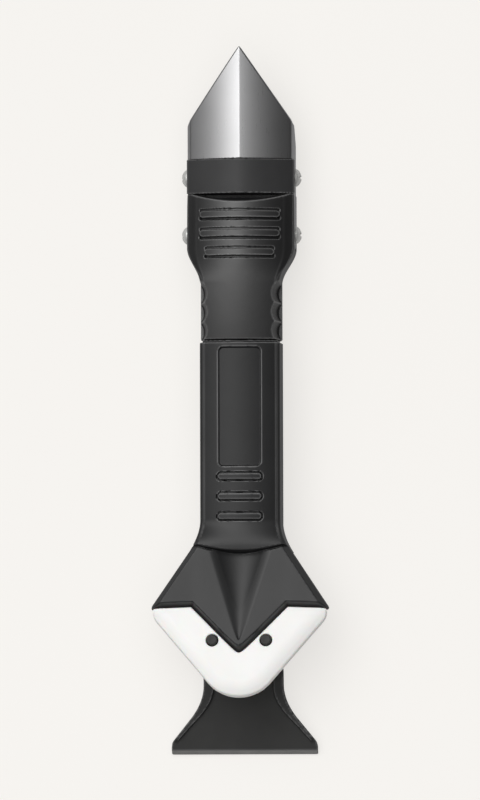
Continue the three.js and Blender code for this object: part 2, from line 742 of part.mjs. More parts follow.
function frontShell() {
  const crease = new THREE.Shape();
  crease.moveTo(30, CREASE + CREASE_SIDE);
  crease.quadraticCurveTo(0, CREASE - CREASE_BOW, -30, CREASE + CREASE_SIDE);
  crease.lineTo(-30, 2);
  crease.lineTo(30, 2);
  const trim = plate(crease, 0, 40);
  const panelEnd = CREASE + PANEL_BOTTOM;
  const frame = roundedBox(-PANEL_HALF, PANEL_HALF, panelEnd, -PANEL_TOP, PANEL_ROUND);
  const panel = cut(plate(frame, PARTING_HEIGHT, 30), handleSkin(-PANEL_DEPTH));
  const bars = [0, 1, 2].map((i) => {
    const outline = pill(BAR_HALF, CREASE + BAR_FIRST + i * BAR_PITCH, BAR_WIDTH);
    return plate(outline, HANDLE_HEIGHT - WALL, 30).intersect(handleSkin(BAR_HEIGHT));
  });
  const bosses = screwPlaces
    .slice(0, 2)
    .map(([x, y]) => pin(BOSS_RADIUS, x, y, PARTING_HEIGHT, 25).intersect(handleSkin(-PANEL_DEPTH)));
  const body = union(handleSkin(0).intersect(trim), spigot(), ...bars);
  const hollowed = union(cut(body, hollow(), panel), ...bosses, headRoot(), arrowSolid());
  const slot = block(
    -TONGUE_HALF - CLEARANCE,
    TONGUE_HALF + CLEARANCE,
    -60,
    -TONGUE_TOP + CLEARANCE,
    -ARROW_THICK - SUPPORT_THICK - 2 * CLEARANCE,
    -ARROW_THICK,
    head.matrix,
  );
  const top = HANDLE_SCREW_SEAT + HANDLE_SCREW.length + CLEARANCE;
  const holes = screwPlaces.map(([x, y]) => pin(HANDLE_SCREW.shank + FIT, x, y, 5, top));
  return cut(hollowed.intersect(above), slot, ...holes);
}

addPiece(tool, "handle_front_shell", frontShell(), plastic(0x232427));

const undersideAt = (y) => (y - HEEL) * SCRAPER_SLOPE;
const topAt = (y) => undersideAt(y) + SCRAPER_THICK;
const land = HEEL + SCRAPER_LAND;
const plateStart = HEEL + 2 * FLARE_LENGTH + 2;

// Back half of the handle, thinning to the rear scraper behind the crease.
function rearSection(y) {
  const t = smoothstep((CREASE - BELLY_START - y) / BELLY_LENGTH);
  const base = Math.min(BELLY_RISE * t, undersideAt(y));
  const top = Math.min(PARTING_HEIGHT, topAt(y));
  const half = mix(HANDLE_HALF, SCRAPER_NECK, t);
  const low = Math.min(mix(PARTING_HEIGHT, 1, t), top - base);
  const side = [];
  for (let i = 0; i <= ARC; i += 1) {
    const a = ((i / ARC) * Math.PI) / 2;
    const run = mix(BACK_RUN, 0.8, t);
    side.push([half - run + run * Math.sin(a), base + low * (1 - Math.cos(a))]);
  }
  side.push([half - 0.01 * (1 - t), top + 0.02]);
  return [...side, ...mirrored(side)];
}

function scraperPlan() {
  const flareEnd = land + FLARE_LENGTH;
  const curveStart = flareEnd - FLARE_CURVE;
  const shape = new THREE.Shape();
  shape.moveTo(-SCRAPER_HALF, HEEL);
  shape.lineTo(SCRAPER_HALF, HEEL);
  shape.lineTo(SCRAPER_HALF, land);
  shape.lineTo(SCRAPER_NECK + FLARE_SHOULDER, curveStart);
  shape.quadraticCurveTo(SCRAPER_NECK, flareEnd - 2, SCRAPER_NECK, flareEnd + 2);
  shape.lineTo(SCRAPER_NECK, plateStart + 1);
  shape.lineTo(-SCRAPER_NECK, plateStart + 1);
  shape.lineTo(-SCRAPER_NECK, flareEnd + 2);
  shape.quadraticCurveTo(-SCRAPER_NECK, flareEnd - 2, -SCRAPER_NECK - FLARE_SHOULDER, curveStart);
  shape.lineTo(-SCRAPER_HALF, land);
  return shape;
}

function scraperSolid() {
  const side = shapeOf([
    [HEEL, 0],
    [plateStart, undersideAt(plateStart)],
    [plateStart, topAt(plateStart)],
    [HEEL + EDGE_BEVEL, topAt(HEEL + EDGE_BEVEL)],
    [HEEL, EDGE_THICK],
  ]);
  const blank = across(side, SCRAPER_HALF + 2).intersect(plate(scraperPlan(), -5, 40));
  const ribEnd = plateStart - 8;
  const ribSide = shapeOf([
    [land - 0.5, topAt(land) - 0.5],
    [ribEnd, topAt(ribEnd) - 0.5],
    [ribEnd, topAt(ribEnd) + 0.1],
    [ribEnd - 4, topAt(ribEnd - 4) + RIB_HEIGHT],
    [land + 1.5, topAt(land + 1.5) + RIB_HEIGHT],
    [land - 0.5, topAt(land - 0.5) + 0.1],
  ]);
  const ribs = sides.map(([, sign]) => {
    const strip = [
      [sign * SCRAPER_HALF, land],
      [sign * (SCRAPER_NECK + FLARE_SHOULDER), land + FLARE_LENGTH - FLARE_CURVE],
      [sign * SCRAPER_NECK, land + FLARE_LENGTH],
      [sign * SCRAPER_NECK, plateStart],
      [sign * (SCRAPER_NECK - RIB_WIDTH), plateStart],
      [sign * (SCRAPER_NECK - RIB_WIDTH), land + FLARE_LENGTH - 1],
      [sign * (SCRAPER_HALF - 1.6 * RIB_WIDTH), land],
    ];
    return across(ribSide, SCRAPER_HALF + 2)
      .intersect(plate(shapeOf(strip), -5, 40))
      .intersect(plate(scraperPlan(), -5, 40));
  });
  return union(blank, ...ribs);
}

function rearShell() {
  const stations = [
    0,
    CREASE + 18,
    CREASE - BELLY_START,
    ...steps(CREASE - BELLY_START - 3, CREASE - BELLY_START - BELLY_LENGTH - 6, 8),
  ];
  const skin = loft(stations, rearSection);
  const seats = screwPlaces
    .slice(0, 2)
    .map(([x, y]) => pin(SEAT_RADIUS, x, y, -1, PARTING_HEIGHT).intersect(skin));
  const tube = union(cut(union(skin, spigot()), hollow()), ...seats);
  const drills = screwPlaces.flatMap(([x, y]) => [
    pin(HANDLE_SCREW.head + 0.4, x, y, -2, HANDLE_SCREW_SEAT),
    pin(HANDLE_SCREW.shank + FIT, x, y, 0, 20),
  ]);
  return cut(union(cut(tube, above), scraperSolid()), ...drills);
}

addPiece(tool, "handle_rear_shell", rearShell(), plastic(0x1d1e20));

screwPlaces.forEach(([x, y], i) => {
  const piece = addPiece(tool, "handle_screw_" + (i + 1), screw(HANDLE_SCREW), steel(0x8d9094, 0.35));
  piece.position.set(x, y, HANDLE_SCREW_SEAT);
  piece.rotation.x = Math.PI;
});

// ---------------------------------------------------------------- pad, support and pegs

// Outline of the pad below the arrow, in the frame of the head.
function padOutline(inset, upper) {
  const centre = -PAD_REACH + PAD_NOSE;
  const r = PAD_NOSE - inset;
  const tangentX = r * Math.sin(PAD_FLANK);
  const tangentY = centre - r * Math.cos(PAD_FLANK);
  const half = PAD_HALF - inset;
  const flankTop = tangentY + (half - tangentX) * Math.tan(PAD_FLANK);
  const shape = new THREE.Shape();
  shape.moveTo(-half, flankTop);
  shape.lineTo(-tangentX, tangentY);
  shape.absarc(0, centre, r, 1.5 * Math.PI - PAD_FLANK, 1.5 * Math.PI + PAD_FLANK, false);
  shape.lineTo(half, flankTop);
  for (const [x, y] of upper) shape.lineTo(x, y);
  return shape;
}

const pegPlaces = sides.map(([side, sign]) => [side, sign * PEG_SPREAD]);

function padSolid() {
  const top = -ARROW_SIDE - CLEARANCE;
  const notchSide = [
    [PAD_HALF, top],
    [ARROW_NOTCH + FIT, top],
    [APEX_FLAT, apexV - CLEARANCE],
  ];
  const outline = padOutline(0, [...notchSide, ...mirrored(notchSide)]);
  const holes = pegPlaces.map(([, x]) => pin(PEG_RADIUS + FIT, x, -PEG_REACH, -20, 5));
  return cut(plate(outline, -ARROW_THICK, -PAD_STEP), ...holes);
}

function supportSolid() {
  const top = -ARROW_THICK - CLEARANCE;
  const tongueSide = [
    [PAD_HALF - SUPPORT_INSET, -ARROW_SIDE + SUPPORT_SIDE],
    [ARROW_NOTCH, -SUPPORT_SHOULDER],
    [TONGUE_HALF, -SUPPORT_SHOULDER],
    [TONGUE_HALF, -TONGUE_TOP],
  ];
  const outline = padOutline(SUPPORT_INSET, [...tongueSide, ...mirrored(tongueSide)]);
  const seats = pegPlaces.map(([, x]) => pin(PEG_RADIUS + FIT, x, -PEG_REACH, top - PEG_SEAT, 5));
  const screwDrop = PARTING_HEIGHT + 2 * SUPPORT_THICK - HEAD_RISE;
  const screwV = -LOWER_SCREW_FROM_CREASE * Math.cos(HEAD_TILT) - screwDrop * Math.sin(HEAD_TILT);
  const slots = screwPlaces
    .slice(2)
    .map(([x]) => pin(HANDLE_SCREW.shank + 3 * CLEARANCE, x, screwV, -20, 5));
  return cut(plate(outline, top - SUPPORT_THICK, top), ...seats, ...slots);
}

function pegSolid() {
  const low = -ARROW_THICK - CLEARANCE - PEG_SEAT + FIT;
  const top = -PAD_STEP + PEG_PROUD;
  const chamfer = 0.25 * PEG_RADIUS;
  const profile = [
    [0, low],
    [PEG_RADIUS, low],
    [PEG_RADIUS, top - chamfer],
    [PEG_RADIUS - chamfer, top],
    [0, top],
  ];
  const geometry = new THREE.LatheGeometry(
    profile.map(([r, y]) => new THREE.Vector2(r, y)),
    ROUND,
  );
  return solid(geometry.rotateX(Math.PI / 2));
}

addPiece(head, "pad_support", supportSolid(), plastic(0x1f2022));
for (const [side, x] of pegPlaces) {
  addPiece(head, "pad_peg_" + side, pegSolid(), plastic(0x2c2c2b)).position.set(x, -PEG_REACH, 0);
}
addPiece(head, "finishing_pad", padSolid(), plastic(0xf7f7f5));

export default tool;
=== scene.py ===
"""Looks of the three-in-one sealant tool: every piece is meshed again, finely, over its CAD solid.

Shapes are worked out in millimetres in the tool's own frame, with Y measured from the seam
between the cap and the handle, and are turned into metres when a mesh is made.
"""
import math

import bpy
import numpy as np
from mathutils import Matrix, Vector


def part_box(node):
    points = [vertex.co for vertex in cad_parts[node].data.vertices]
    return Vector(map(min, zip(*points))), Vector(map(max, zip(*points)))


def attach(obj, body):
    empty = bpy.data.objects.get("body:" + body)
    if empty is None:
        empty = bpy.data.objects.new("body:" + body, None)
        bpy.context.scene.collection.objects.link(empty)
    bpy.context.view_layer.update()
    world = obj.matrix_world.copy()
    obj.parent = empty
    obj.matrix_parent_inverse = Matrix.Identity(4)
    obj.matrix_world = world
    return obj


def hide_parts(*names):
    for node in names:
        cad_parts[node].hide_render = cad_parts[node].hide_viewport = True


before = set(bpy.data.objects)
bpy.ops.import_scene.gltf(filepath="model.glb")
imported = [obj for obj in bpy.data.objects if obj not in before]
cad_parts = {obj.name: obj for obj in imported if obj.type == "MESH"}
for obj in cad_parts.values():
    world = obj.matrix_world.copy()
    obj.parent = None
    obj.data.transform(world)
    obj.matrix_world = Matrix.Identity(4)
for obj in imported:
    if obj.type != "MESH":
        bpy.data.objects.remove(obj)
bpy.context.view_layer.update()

MM = 0.001

# ---------------------------------------------------------------- sizes from the frame

SEAM_GAP = 0.9
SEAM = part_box("cap")[0].y / MM - SEAM_GAP


def reach(node):
    """Lowest and highest corner of a CAD node in millimetres, with Y from the seam."""
    low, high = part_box(node)
    shift = np.array([0.0, SEAM, 0.0])
    return np.array(low) / MM - shift, np.array(high) / MM - shift


CAP_HALF, CAP_END = reach("cap")[1][:2]
TIP = reach("blade")[1][1]
ARM_END = reach("blade")[0][1]
ARROW_HALF = reach("handle_front_shell")[1][0]
SCRAPER_LOW, SCRAPER_HIGH = reach("handle_rear_shell")
HEEL, SCRAPER_HALF = SCRAPER_LOW[1], SCRAPER_HIGH[0]
PAD_HALF = reach("finishing_pad")[1][0]

# ---------------------------------------------------------------- named sizes, in millimetres

# Along the tool
HANDLE_LENGTH = 62.1
CREASE = -HANDLE_LENGTH
BAND_END = CAP_END + 10.6
SHOULDER = TIP - 23.3
SPIGOT_END = 22.0
SOCKET_PLAY = 1.8
BULKHEAD = 2.0
BULKHEAD_LOW = SEAM_GAP + SPIGOT_END + SOCKET_PLAY
BULKHEAD_TOP = BULKHEAD_LOW + BULKHEAD
FRONT_SCREW = BAND_END - 5.4
REAR_SCREW = FRONT_SCREW - 17.5

# Section of the handle and the cap's neck
HANDLE_HALF = 12.5
HANDLE_HEIGHT = 22.0
HANDLE_CORNER = 3.8
CROWN_DROP = 2.0
PARTING = 11.0
SPLIT_PLAY = 0.02
FLANK_LEAN = 1.35
SHOULDER_BEVEL = 1.05
SHOULDER_SLOPE = 1.4
SHOULDER_ROUND = 0.2
GAP = 0.3

# Collars that close the seam between the cap and the handle from inside
COLLAR_INSET = 0.9
COLLAR_PLAY = 0.25
COLLAR_ROOT = 2.0

# Folded steel: its ridge, how it falls to the sides, its point and its side arms
RIDGE = 20.0
FOLD_SLOPE = 0.16
FOLD_CURVE = 0.0148
FOLD_SOFTNESS = 0.12
SHEET = 1.0
SHEET_CORNER = 1.3
POINT_SOFTNESS = 0.25
POINT_PAST = 0.3
GRIND_SLOPE, GRIND_START, GRIND_STEEPNESS = 0.9, 0.25, 1.3
ARM_LOW, ARM_TOP = 4.8, 13.0
ARM_NOSE, ARM_NOSE_TOP = 6.2, ARM_TOP - 0.5
ARM_FLAT = 0.05
ARM_DEPTH = SHEET + 0.6

# Screws, with the clearance of their holes
HEAD_RADIUS, HEAD_HEIGHT, SHANK_RADIUS, SHANK_LENGTH = 2.8, 2.0, 1.45, 7.0
SCREW_HOLE = SHANK_RADIUS + 0.1
SCREW_Z = (ARM_LOW + ARM_TOP) / 2
SCREW_HOLE_END = 8.8
HEAD_FLATNESS = 1.06
HEAD_RIM = 0.35
CROSS_HALF, CROSS_REACH, CROSS_FLOOR = 0.42, 1.65, 0.45
SHANK_PLAY = 0.98
SHANK_CUT, SHANK_LAP = 0.8, 0.2
CLAMP_SCALE = 0.89
CLAMP_LENGTH = 6.5
CLAMP_SEAT = 4.0
CLAMP_WELL = 2.9
CLAMP_PLACES = [
    (-7.2, CREASE + 16.8),
    (7.2, CREASE + 16.8),
    (-5.6, CREASE - 8.9),
    (5.6, CREASE - 8.9),
]

# Cap: its section blends from the neck to the wide head
CAP_NECK = {
    "half": HANDLE_HALF - 0.1,
    "run": 3.9,
    "low": PARTING,
    "inset": FLANK_LEAN,
    "drop": CROWN_DROP,
    "edge": 0.25,
    "bevel": SHOULDER_BEVEL,
}
CAP_HEAD = {
    "half": CAP_HALF + 0.15,
    "run": 4.8,
    "low": 5.0,
    "inset": 0.1,
    "drop": 6.3,
    "edge": 1.4,
    "bevel": 0.0,
}
NECK_TOP, NECK_RUN = BULKHEAD_TOP - 8.7, 11.0
CAP_CROWN, CAP_CROWN_PLACE, CAP_CROWN_BOW = 22.85, 18.0, 0.0026
MOUTH_SLANT, MOUTH_FROM = 0.43, 15.3
POCKET_LENGTH, POCKET_ROUND = 9.0, 4.0
DOME_WALL = 1.8

# Ribs across the cap, each with a deep foot below it and a fine line above it
RIBS = 3
RIB_HALF, RIB_WIDTH, RIB_FIRST, RIB_PITCH = 12.2, 2.1, 6.4, 5.8
LAST_RIB_CUT = 1.6
RIB_RISE, RIB_LEAN = 0.5, 0.2
FOOT_PLACE, FOOT_WIDTH, FOOT_DEPTH = -1.2, 1.3, 1.1
RIM_PLACE, RIM_WIDTH, RIM_DEPTH = 1.1, 1.2, 0.55

# Finger scallops
SCALLOPS = 3
SCALLOP_RADIUS, SCALLOP_DEPTH, SCALLOP_FIRST, SCALLOP_PITCH = 4.4, 1.0, 2.6, 5.7
SCALLOP_FLOOR = PARTING + 1.2

# Band, wedge inside the blade and tail inside the cap
BAND_PROUD, BAND_FOLD, BAND_CURVE, BAND_STEEPNESS = 0.3, 3.0, 0.011, 1.08
BAND_SIDE = CAP_HALF + 0.1
BAND_PLAY = 0.08
WEDGE_END = TIP - 14.5
WEDGE_NOSE, WEDGE_SLOPE = 6.5, 0.7
WEDGE_LOW = 3.5
UNDERCUT_START, UNDERCUT_PAST, UNDERCUT_TOP = 2.7, 0.5, 11.0
CORE_PLAY = 0.05
TAIL_HALF, TAIL_LOW, TAIL_TOP, TAIL_ROUND = 12.5, 4.0, 17.5, 2.0
TAIL_COVER = 2.6
TAIL_PAST = 4.0
TAIL_STEP, TAIL_STEP_TOP = 5.0, 13.5

# Spigot and the store inside the handle
SPIGOT_HALF, SPIGOT_LOW, SPIGOT_TOP, SPIGOT_WALL = 9.2, 3.2, 18.6, 1.6
SPIGOT_ROUND, BORE_ROUND = 3.0, 1.6
SPIGOT_ROOT = 2.0
STORE_END = 25.0

# Panel and grip bars on the handle
PANEL_HALF, PANEL_LOW, PANEL_TOP, PANEL_ROUND = 6.6, CREASE + 24.3, -1.3, 1.6
PANEL_DEPTH, PANEL_DRAFT = 0.65, 0.6
BARS = 3
BAR_HALF, BAR_WIDTH, BAR_FIRST, BAR_PITCH, BAR_RISE = 6.6, 1.9, 9.2, 6.05, 0.85
MOAT_MIDDLE, MOAT_HALF, MOAT_DEPTH = 0.2, 0.3, 0.45

# Arrow head, in a frame of its own: across, along its face and out of its face
TILT = math.radians(12)
HEAD_RISE = 22.2
RAMP_TOP, RAMP_RUN, RAMP_DROP = 23.4, 8.3, 0.35
ARROW_ROOT = 14.4
ARROW_THICK = 6.0
ARROW_TOP = 3.0
WING_EDGE = 18.1
WING_TIP = 18.55
NOTCH = 14.6
APEX, APEX_SOFTNESS, APEX_PAST = 32.6, 1.0, 0.6
FLANK_SLOPE, FLANK_COSINE, FLANK_RISE, FLANK_BLEND = 0.668, 0.82, 0.4, 3.4
ROOT_RETREAT = 1.2
SIDE_BEVEL, LOWER_BEVEL, BEVEL_SLOPE = 1.5, 1.0, 2.4
GUTTER_HALF, GUTTER_DEPTH, GUTTER_LENGTH = 8.7, 2.3, 28.5
CREASE_SAG, CREASE_BOW, CREASE_SLANT = 1.5, 2.4, 0.3
GROOVE_BELOW, GROOVE_HALF, GROOVE_DEPTH = 0.2, 0.35, 0.45
ROOT_HALF, ROOT_TAPER, ROOT_LENGTH, ROOT_DEPTH = 11.6, 0.08, 13.9, 2.0
SLOT_TOP, SLOT_DEPTH = -3.7, 3.3

# Silicone pad, its plate and its pegs, in the head's frame
PAD_STEP = 1.6
PAD_NOSE = 12.3
PAD_CENTRE = -45.8 + PAD_NOSE
PAD_FLANK = math.radians(50)
PAD_BEVEL, PAD_BEVEL_SLOPE = 2.7, 1.8
SUPPORT_THICK = 2.7
SUPPORT_INSET = 5.0
SUPPORT_ROUND = 1.5
SUPPORT_TOP, SUPPORT_WING = -13.4, -17.1
TONGUE_HALF, TONGUE_LOW, TONGUE_TOP = 8.3, -16.0, -4.0
PEG_RADIUS, PEG_SPREAD, PEG_REACH, PEG_PROUD = 1.6, 8.15, 28.8, 0.8
PEG_PLAY = 0.3
PEG_FOOT = 2.1
DIMPLE_RADIUS, DIMPLE_RISE = 2.35, 2.2

# Rear scraper
SCRAPER_SLOPE = 0.21
SCRAPER_THICK = 2.25
SCRAPER_NECK = 12.1
LAND = HEEL + 3.3
FLARE, FLARE_BLEND = 0.81, 4.2
TAPER_START, TAPER_RUN, TAPER_RISE = 3.2, 24.0, 6.6
NECK_CORNER, NECK_LOW = 0.9, 1.0
TUBE_END, PLATE_END = HEEL + 28.0, HEEL + 31.0
HONE, HONE_EDGE = 1.15, 0.8
SIDE_COSINE = 0.8
SIDE_RIM, SIDE_RIM_WIDE, SIDE_RIM_RUN = 1.1, 2.4, 16.0
SIDE_RIM_HEIGHT, SIDE_RIM_RISE, SIDE_RIM_FALL = 1.3, 2.2, 7.0
SIDE_RIM_END = HEEL + 26.0

FINE = 1.0
TINY = 1e-6

# ---------------------------------------------------------------- fields
# A field is negative inside a shape and about as large as the distance to its surface. The last
# argument of meet, join and carve is the rounding of the edge that they make.


def meet(a, b, r):
    """What is inside both, with the edge rounded to radius r."""
    return np.minimum(-r, np.maximum(a, b)) + np.hypot(np.maximum(a + r, 0), np.maximum(b + r, 0))


def join(a, b, r):
    """What is inside either, with a fillet of radius r."""
    return np.maximum(r, np.minimum(a, b)) - np.hypot(np.maximum(r - a, 0), np.maximum(r - b, 0))


def carve(a, b, r):
    """What is inside a and outside b."""
    return meet(a, -b, r)


def blend_max(a, b, k):
    """The larger of two curves, eased over k."""
    return np.maximum(a, b) + np.maximum(k - np.abs(a - b), 0) ** 2 / (4 * k)


def blend_min(a, b, k):
    return -blend_max(-a, -b, k)


def ease(t):
    u = np.clip(t, 0, 1)
    return u * u * (3 - 2 * u)


def mix(a, b, t):
    return a + (b - a) * t


def between(a, low, high):
    return np.abs(a - (low + high) / 2) - (high - low) / 2


def slanted(across, rise, slope):
    """A plane's field: it goes up by slope for each step in."""
    return (across * slope + rise) / np.hypot(slope, 1)


def line(x, y, x0, y0, x1, y1):
    """Distance to the right of the line from (x0, y0) to (x1, y1)."""
    length = math.hypot(x1 - x0, y1 - y0)
    return ((x - x0) * (y1 - y0) - (y - y0) * (x1 - x0)) / length


def bore(a, b, radius):
    return np.hypot(a, b) - radius


def stadium(x, y, half, y0, width):
    r = width / 2
    return np.hypot(np.maximum(np.abs(x) - half + r, 0), y - y0) - r


def rounded_box(x, z, x0, x1, z0, z1, r):
    """A rectangle with corner radius r, as a field in a plane."""
    dx = between(x, x0, x1) + r
    dz = between(z, z0, z1) + r
    return np.hypot(np.maximum(dx, 0), np.maximum(dz, 0)) + np.minimum(np.maximum(dx, dz), 0) - r


def lower_round(x, z, half, run, low, base):
    """Flat back whose edges round up into upright sides: run across, low up."""
    px = np.maximum(np.abs(x) - half + run, 0) / run
    pz = np.maximum(base + low - z, 0) / low
    norm = np.hypot(px, pz)
    steep = np.hypot(px / run, pz / low) / np.maximum(norm, TINY)
    return (norm - 1) / np.maximum(steep, 1 / np.maximum(run, low))


def barrel(x, z, half, run, low, inset, crown, drop, edge, bevel):
    """Section of cap and handle: flat back, round lower sides, bevelled flanks, domed front."""
    lower = lower_round(x, z, half, run, low, 0.0)
    lean = (inset - bevel) / (crown - drop - low)
    flank = slanted(z - low, np.abs(x) - half, lean)
    side = np.where(z > low, flank, lower)
    shoulder = slanted(np.abs(x) - half + inset, z - crown + drop, SHOULDER_SLOPE)
    side = meet(side, shoulder, SHOULDER_ROUND * bevel / SHOULDER_BEVEL)
    bend = drop / (half - inset) ** 2
    front = (z - crown + bend * x**2) / np.hypot(2 * bend * x, 1)
    return meet(side, front, edge)


def collar(shell, y):
    return meet(shell + COLLAR_INSET, np.maximum(y - SEAM_GAP + COLLAR_PLAY, -COLLAR_ROOT - y), 0.1)


# ---------------------------------------------------------------- blade, holder and cap


def roof(x, z, inset):
    """The folded sheet's outside, moved in by a distance."""
    ax = np.hypot(x, FOLD_SOFTNESS)
    slope = FOLD_SLOPE + 2 * FOLD_CURVE * ax
    top = (z - RIDGE + FOLD_SLOPE * ax + FOLD_CURVE * ax**2) / np.hypot(slope, 1)
    return meet(top + inset, np.abs(x) - CAP_HALF + inset, max(SHEET_CORNER - inset, 0.3))


def band_top(x, z):
    """The band's outside: smooth over the fold and proud of the sheet at the sides."""
    fall = FOLD_SLOPE * np.hypot(x, BAND_FOLD) + BAND_CURVE * x**2
    return (z - RIDGE - BAND_PROUD + fall) / BAND_STEEPNESS


def rib_cut(x, y, z, solid, half, place, width, depth):
    """Narrow groove across the cap's front, cut to a depth below its skin."""
    plan = np.maximum(stadium(x, y, half, place, width), PARTING - z)
    return meet(plan, -(solid + depth), 0.15)


def ribbed(body, x, y, z, solid):
    for i in range(RIBS):
        half = RIB_HALF - (LAST_RIB_CUT if i == RIBS - 1 else 0)
        place = CAP_END - RIB_FIRST - RIB_PITCH * i
        foot = rib_cut(x, y, z, solid, half + 0.1, place + FOOT_PLACE, FOOT_WIDTH, FOOT_DEPTH)
        rim = rib_cut(x, y, z, solid, half, place + RIM_PLACE, RIM_WIDTH, RIM_DEPTH)
        body = carve(carve(body, foot, 0.12), rim, 0.15)
        fin = np.maximum(solid - RIB_RISE + RIB_LEAN * (y - place), PARTING - z)
        body = join(body, meet(stadium(x, y, half, place, RIB_WIDTH), fin, 0.22), 0.12)
    return body


def scalloped(body, x, y, z):
    lean = FLANK_LEAN / (HANDLE_HEIGHT - CROWN_DROP - PARTING)
    side = np.abs(x) + lean * np.maximum(z - PARTING, 0)
    across = side - CAP_NECK["half"] + SCALLOP_DEPTH - SCALLOP_RADIUS
    for i in range(SCALLOPS):
        along = y - SEAM_GAP - SCALLOP_FIRST - SCALLOP_PITCH * i
        away = bore(across, along, SCALLOP_RADIUS)
        body = carve(body, meet(away, SCALLOP_FLOOR - z, 0.3), 0.3)
    return body


def cap_hollows(body, x, y, z, solid):
    """Pockets for the blade's arms, nest of the holder's tail, socket and screw holes."""
    arm = rounded_box(
        y, z, ARM_END - GAP, CAP_END + POCKET_LENGTH, ARM_LOW - GAP, ARM_TOP + GAP, POCKET_ROUND
    )
    body = carve(body, meet(arm, CAP_HALF - SHEET - GAP - np.abs(x), 0.1), 0.15)
    half = TAIL_HALF + GAP
    nest = rounded_box(x, z, -half, half, TAIL_LOW - GAP, TAIL_TOP + GAP, TAIL_ROUND)
    nest = np.maximum(nest, solid + DOME_WALL)
    body = carve(body, meet(nest, BULKHEAD_TOP - y, 0.3), 0.25)
    half = SPIGOT_HALF + GAP
    socket = rounded_box(x, z, -half, half, SPIGOT_LOW - GAP, SPIGOT_TOP + GAP, SPIGOT_ROUND)
    body = carve(body, meet(socket, y - BULKHEAD_LOW, 0.3), 0.35)
    return carve(body, bore(y - REAR_SCREW, z - SCREW_Z, SCREW_HOLE), 0.1)


def cap_field(x, y, z):
    t = ease((y - NECK_TOP) / NECK_RUN)
    section = {key: mix(CAP_NECK[key], CAP_HEAD[key], t) for key in CAP_NECK}
    crown = CAP_CROWN - CAP_CROWN_BOW * (y - CAP_CROWN_PLACE) ** 2
    solid = barrel(x, z, crown=crown, **section)
    body = ribbed(solid, x, y, z, solid)
    mouth = slanted(np.maximum(z - MOUTH_FROM, 0), y - CAP_END, MOUTH_SLANT)
    body = meet(meet(body, mouth, 0.2), SEAM_GAP - y, 0.35)
    body = scalloped(body, x, y, z)
    return cap_hollows(body, x, y, z, solid)


def holder_core(x, y, z):
    """Wedge inside the folded blade."""
    half = CAP_HALF - SHEET - GAP
    start = WEDGE_END - (half - WEDGE_NOSE) / WEDGE_SLOPE
    plan = line(np.abs(x), y, half, start, WEDGE_NOSE, WEDGE_END)
    plan = meet(plan, y - WEDGE_END, 0.8)
    start, end = BAND_END + UNDERCUT_START, WEDGE_END + UNDERCUT_PAST
    under = line(y, z, start, WEDGE_LOW, end, UNDERCUT_TOP)
    core = meet(roof(x, z, SHEET + GAP), meet(plan, WEDGE_LOW - z, 0.6), 0.5)
    return meet(meet(core, under, 0.6), CAP_END + CORE_PLAY - y, 0.1)


def holder_band(x, y, z):
    band = meet(band_top(x, z), np.abs(x) - BAND_SIDE, 0.3)
    band = meet(band, between(y, CAP_END, BAND_END) + BAND_PLAY, 0.15)
    return meet(band, ARM_TOP + GAP - z, 0.2)


def holder_tail(x, y, z):
    """Block inside the cap, lower where the cap's mouth shows it."""
    block = rounded_box(x, z, -TAIL_HALF, TAIL_HALF, TAIL_LOW, TAIL_TOP, TAIL_ROUND)
    tail = meet(block, roof(x, z, TAIL_COVER), 0.3)
    ends = between(y, BULKHEAD_TOP + GAP / 2, CAP_END + TAIL_PAST + GAP / 2)
    tail = meet(tail, ends, 0.4)
    return meet(tail, np.minimum(z - TAIL_STEP_TOP, y - CAP_END + TAIL_STEP), 0.4)


def holder_field(x, y, z):
    body = join(join(holder_core(x, y, z), holder_band(x, y, z), 0.2), holder_tail(x, y, z), 0.2)
    for place in (FRONT_SCREW, REAR_SCREW):
        hole = meet(bore(y - place, z - SCREW_Z, SCREW_HOLE), SCREW_HOLE_END - np.abs(x), 0.1)
        body = carve(body, hole, 0.1)
    return body


def blade_field(x, y, z):
    outside = roof(x, z, 0.0)
    sheet = np.maximum(outside, -roof(x, z, SHEET))
    point = line(np.hypot(x, POINT_SOFTNESS), y, CAP_HALF, SHOULDER, 0, TIP + POINT_PAST)
    ground = (point + outside * GRIND_SLOPE + GRIND_START) / GRIND_STEEPNESS
    plate = meet(meet(point, ground, 0.05), BAND_END - y, 0.12)
    end_round = (ARM_TOP - ARM_LOW) / 2 - ARM_FLAT
    arm = rounded_box(y, z, ARM_END, TIP, ARM_LOW, ARM_TOP, end_round)
    arm = meet(meet(arm, y - SHOULDER + 1, 0.4), CAP_HALF - ARM_DEPTH - np.abs(x), 0.1)
    nose = line(y, z, SHOULDER - ARM_NOSE, ARM_LOW, SHOULDER, ARM_NOSE_TOP)
    skirt = np.maximum(np.minimum(nose, ARM_TOP - z), ARM_LOW - z)
    body = meet(sheet, meet(np.minimum(plate, arm), skirt, 0.5), 0.14)
    for place in (FRONT_SCREW, REAR_SCREW):
        body = carve(body, bore(y - place, z - SCREW_Z, SCREW_HOLE), 0.1)
    return body


# ---------------------------------------------------------------- handle and arrow head


def handle_half(y):
    """Half width of the front shell: it flares into the arrow's slanted edges."""
    flank = ARROW_ROOT + (CREASE + FLANK_RISE - y) * FLANK_SLOPE
    return blend_max(HANDLE_HALF, flank, FLANK_BLEND)


def head_frame(y, z):
    """Along and out of the tilted head's face."""
    dy, dz = y - CREASE, z - HEAD_RISE
    return dy * math.cos(TILT) - dz * math.sin(TILT), dy * math.sin(TILT) + dz * math.cos(TILT)


def arrow_lower(x, v):
    """Below the arrow's lower contour: two wings and the middle point."""
    wing = line(np.abs(x), v, NOTCH, -WING_EDGE, ARROW_HALF, -WING_TIP)
    vee = line(np.hypot(x, APEX_SOFTNESS), v, 0, -APEX - APEX_PAST, NOTCH, -WING_EDGE)
    return np.minimum(wing, vee)


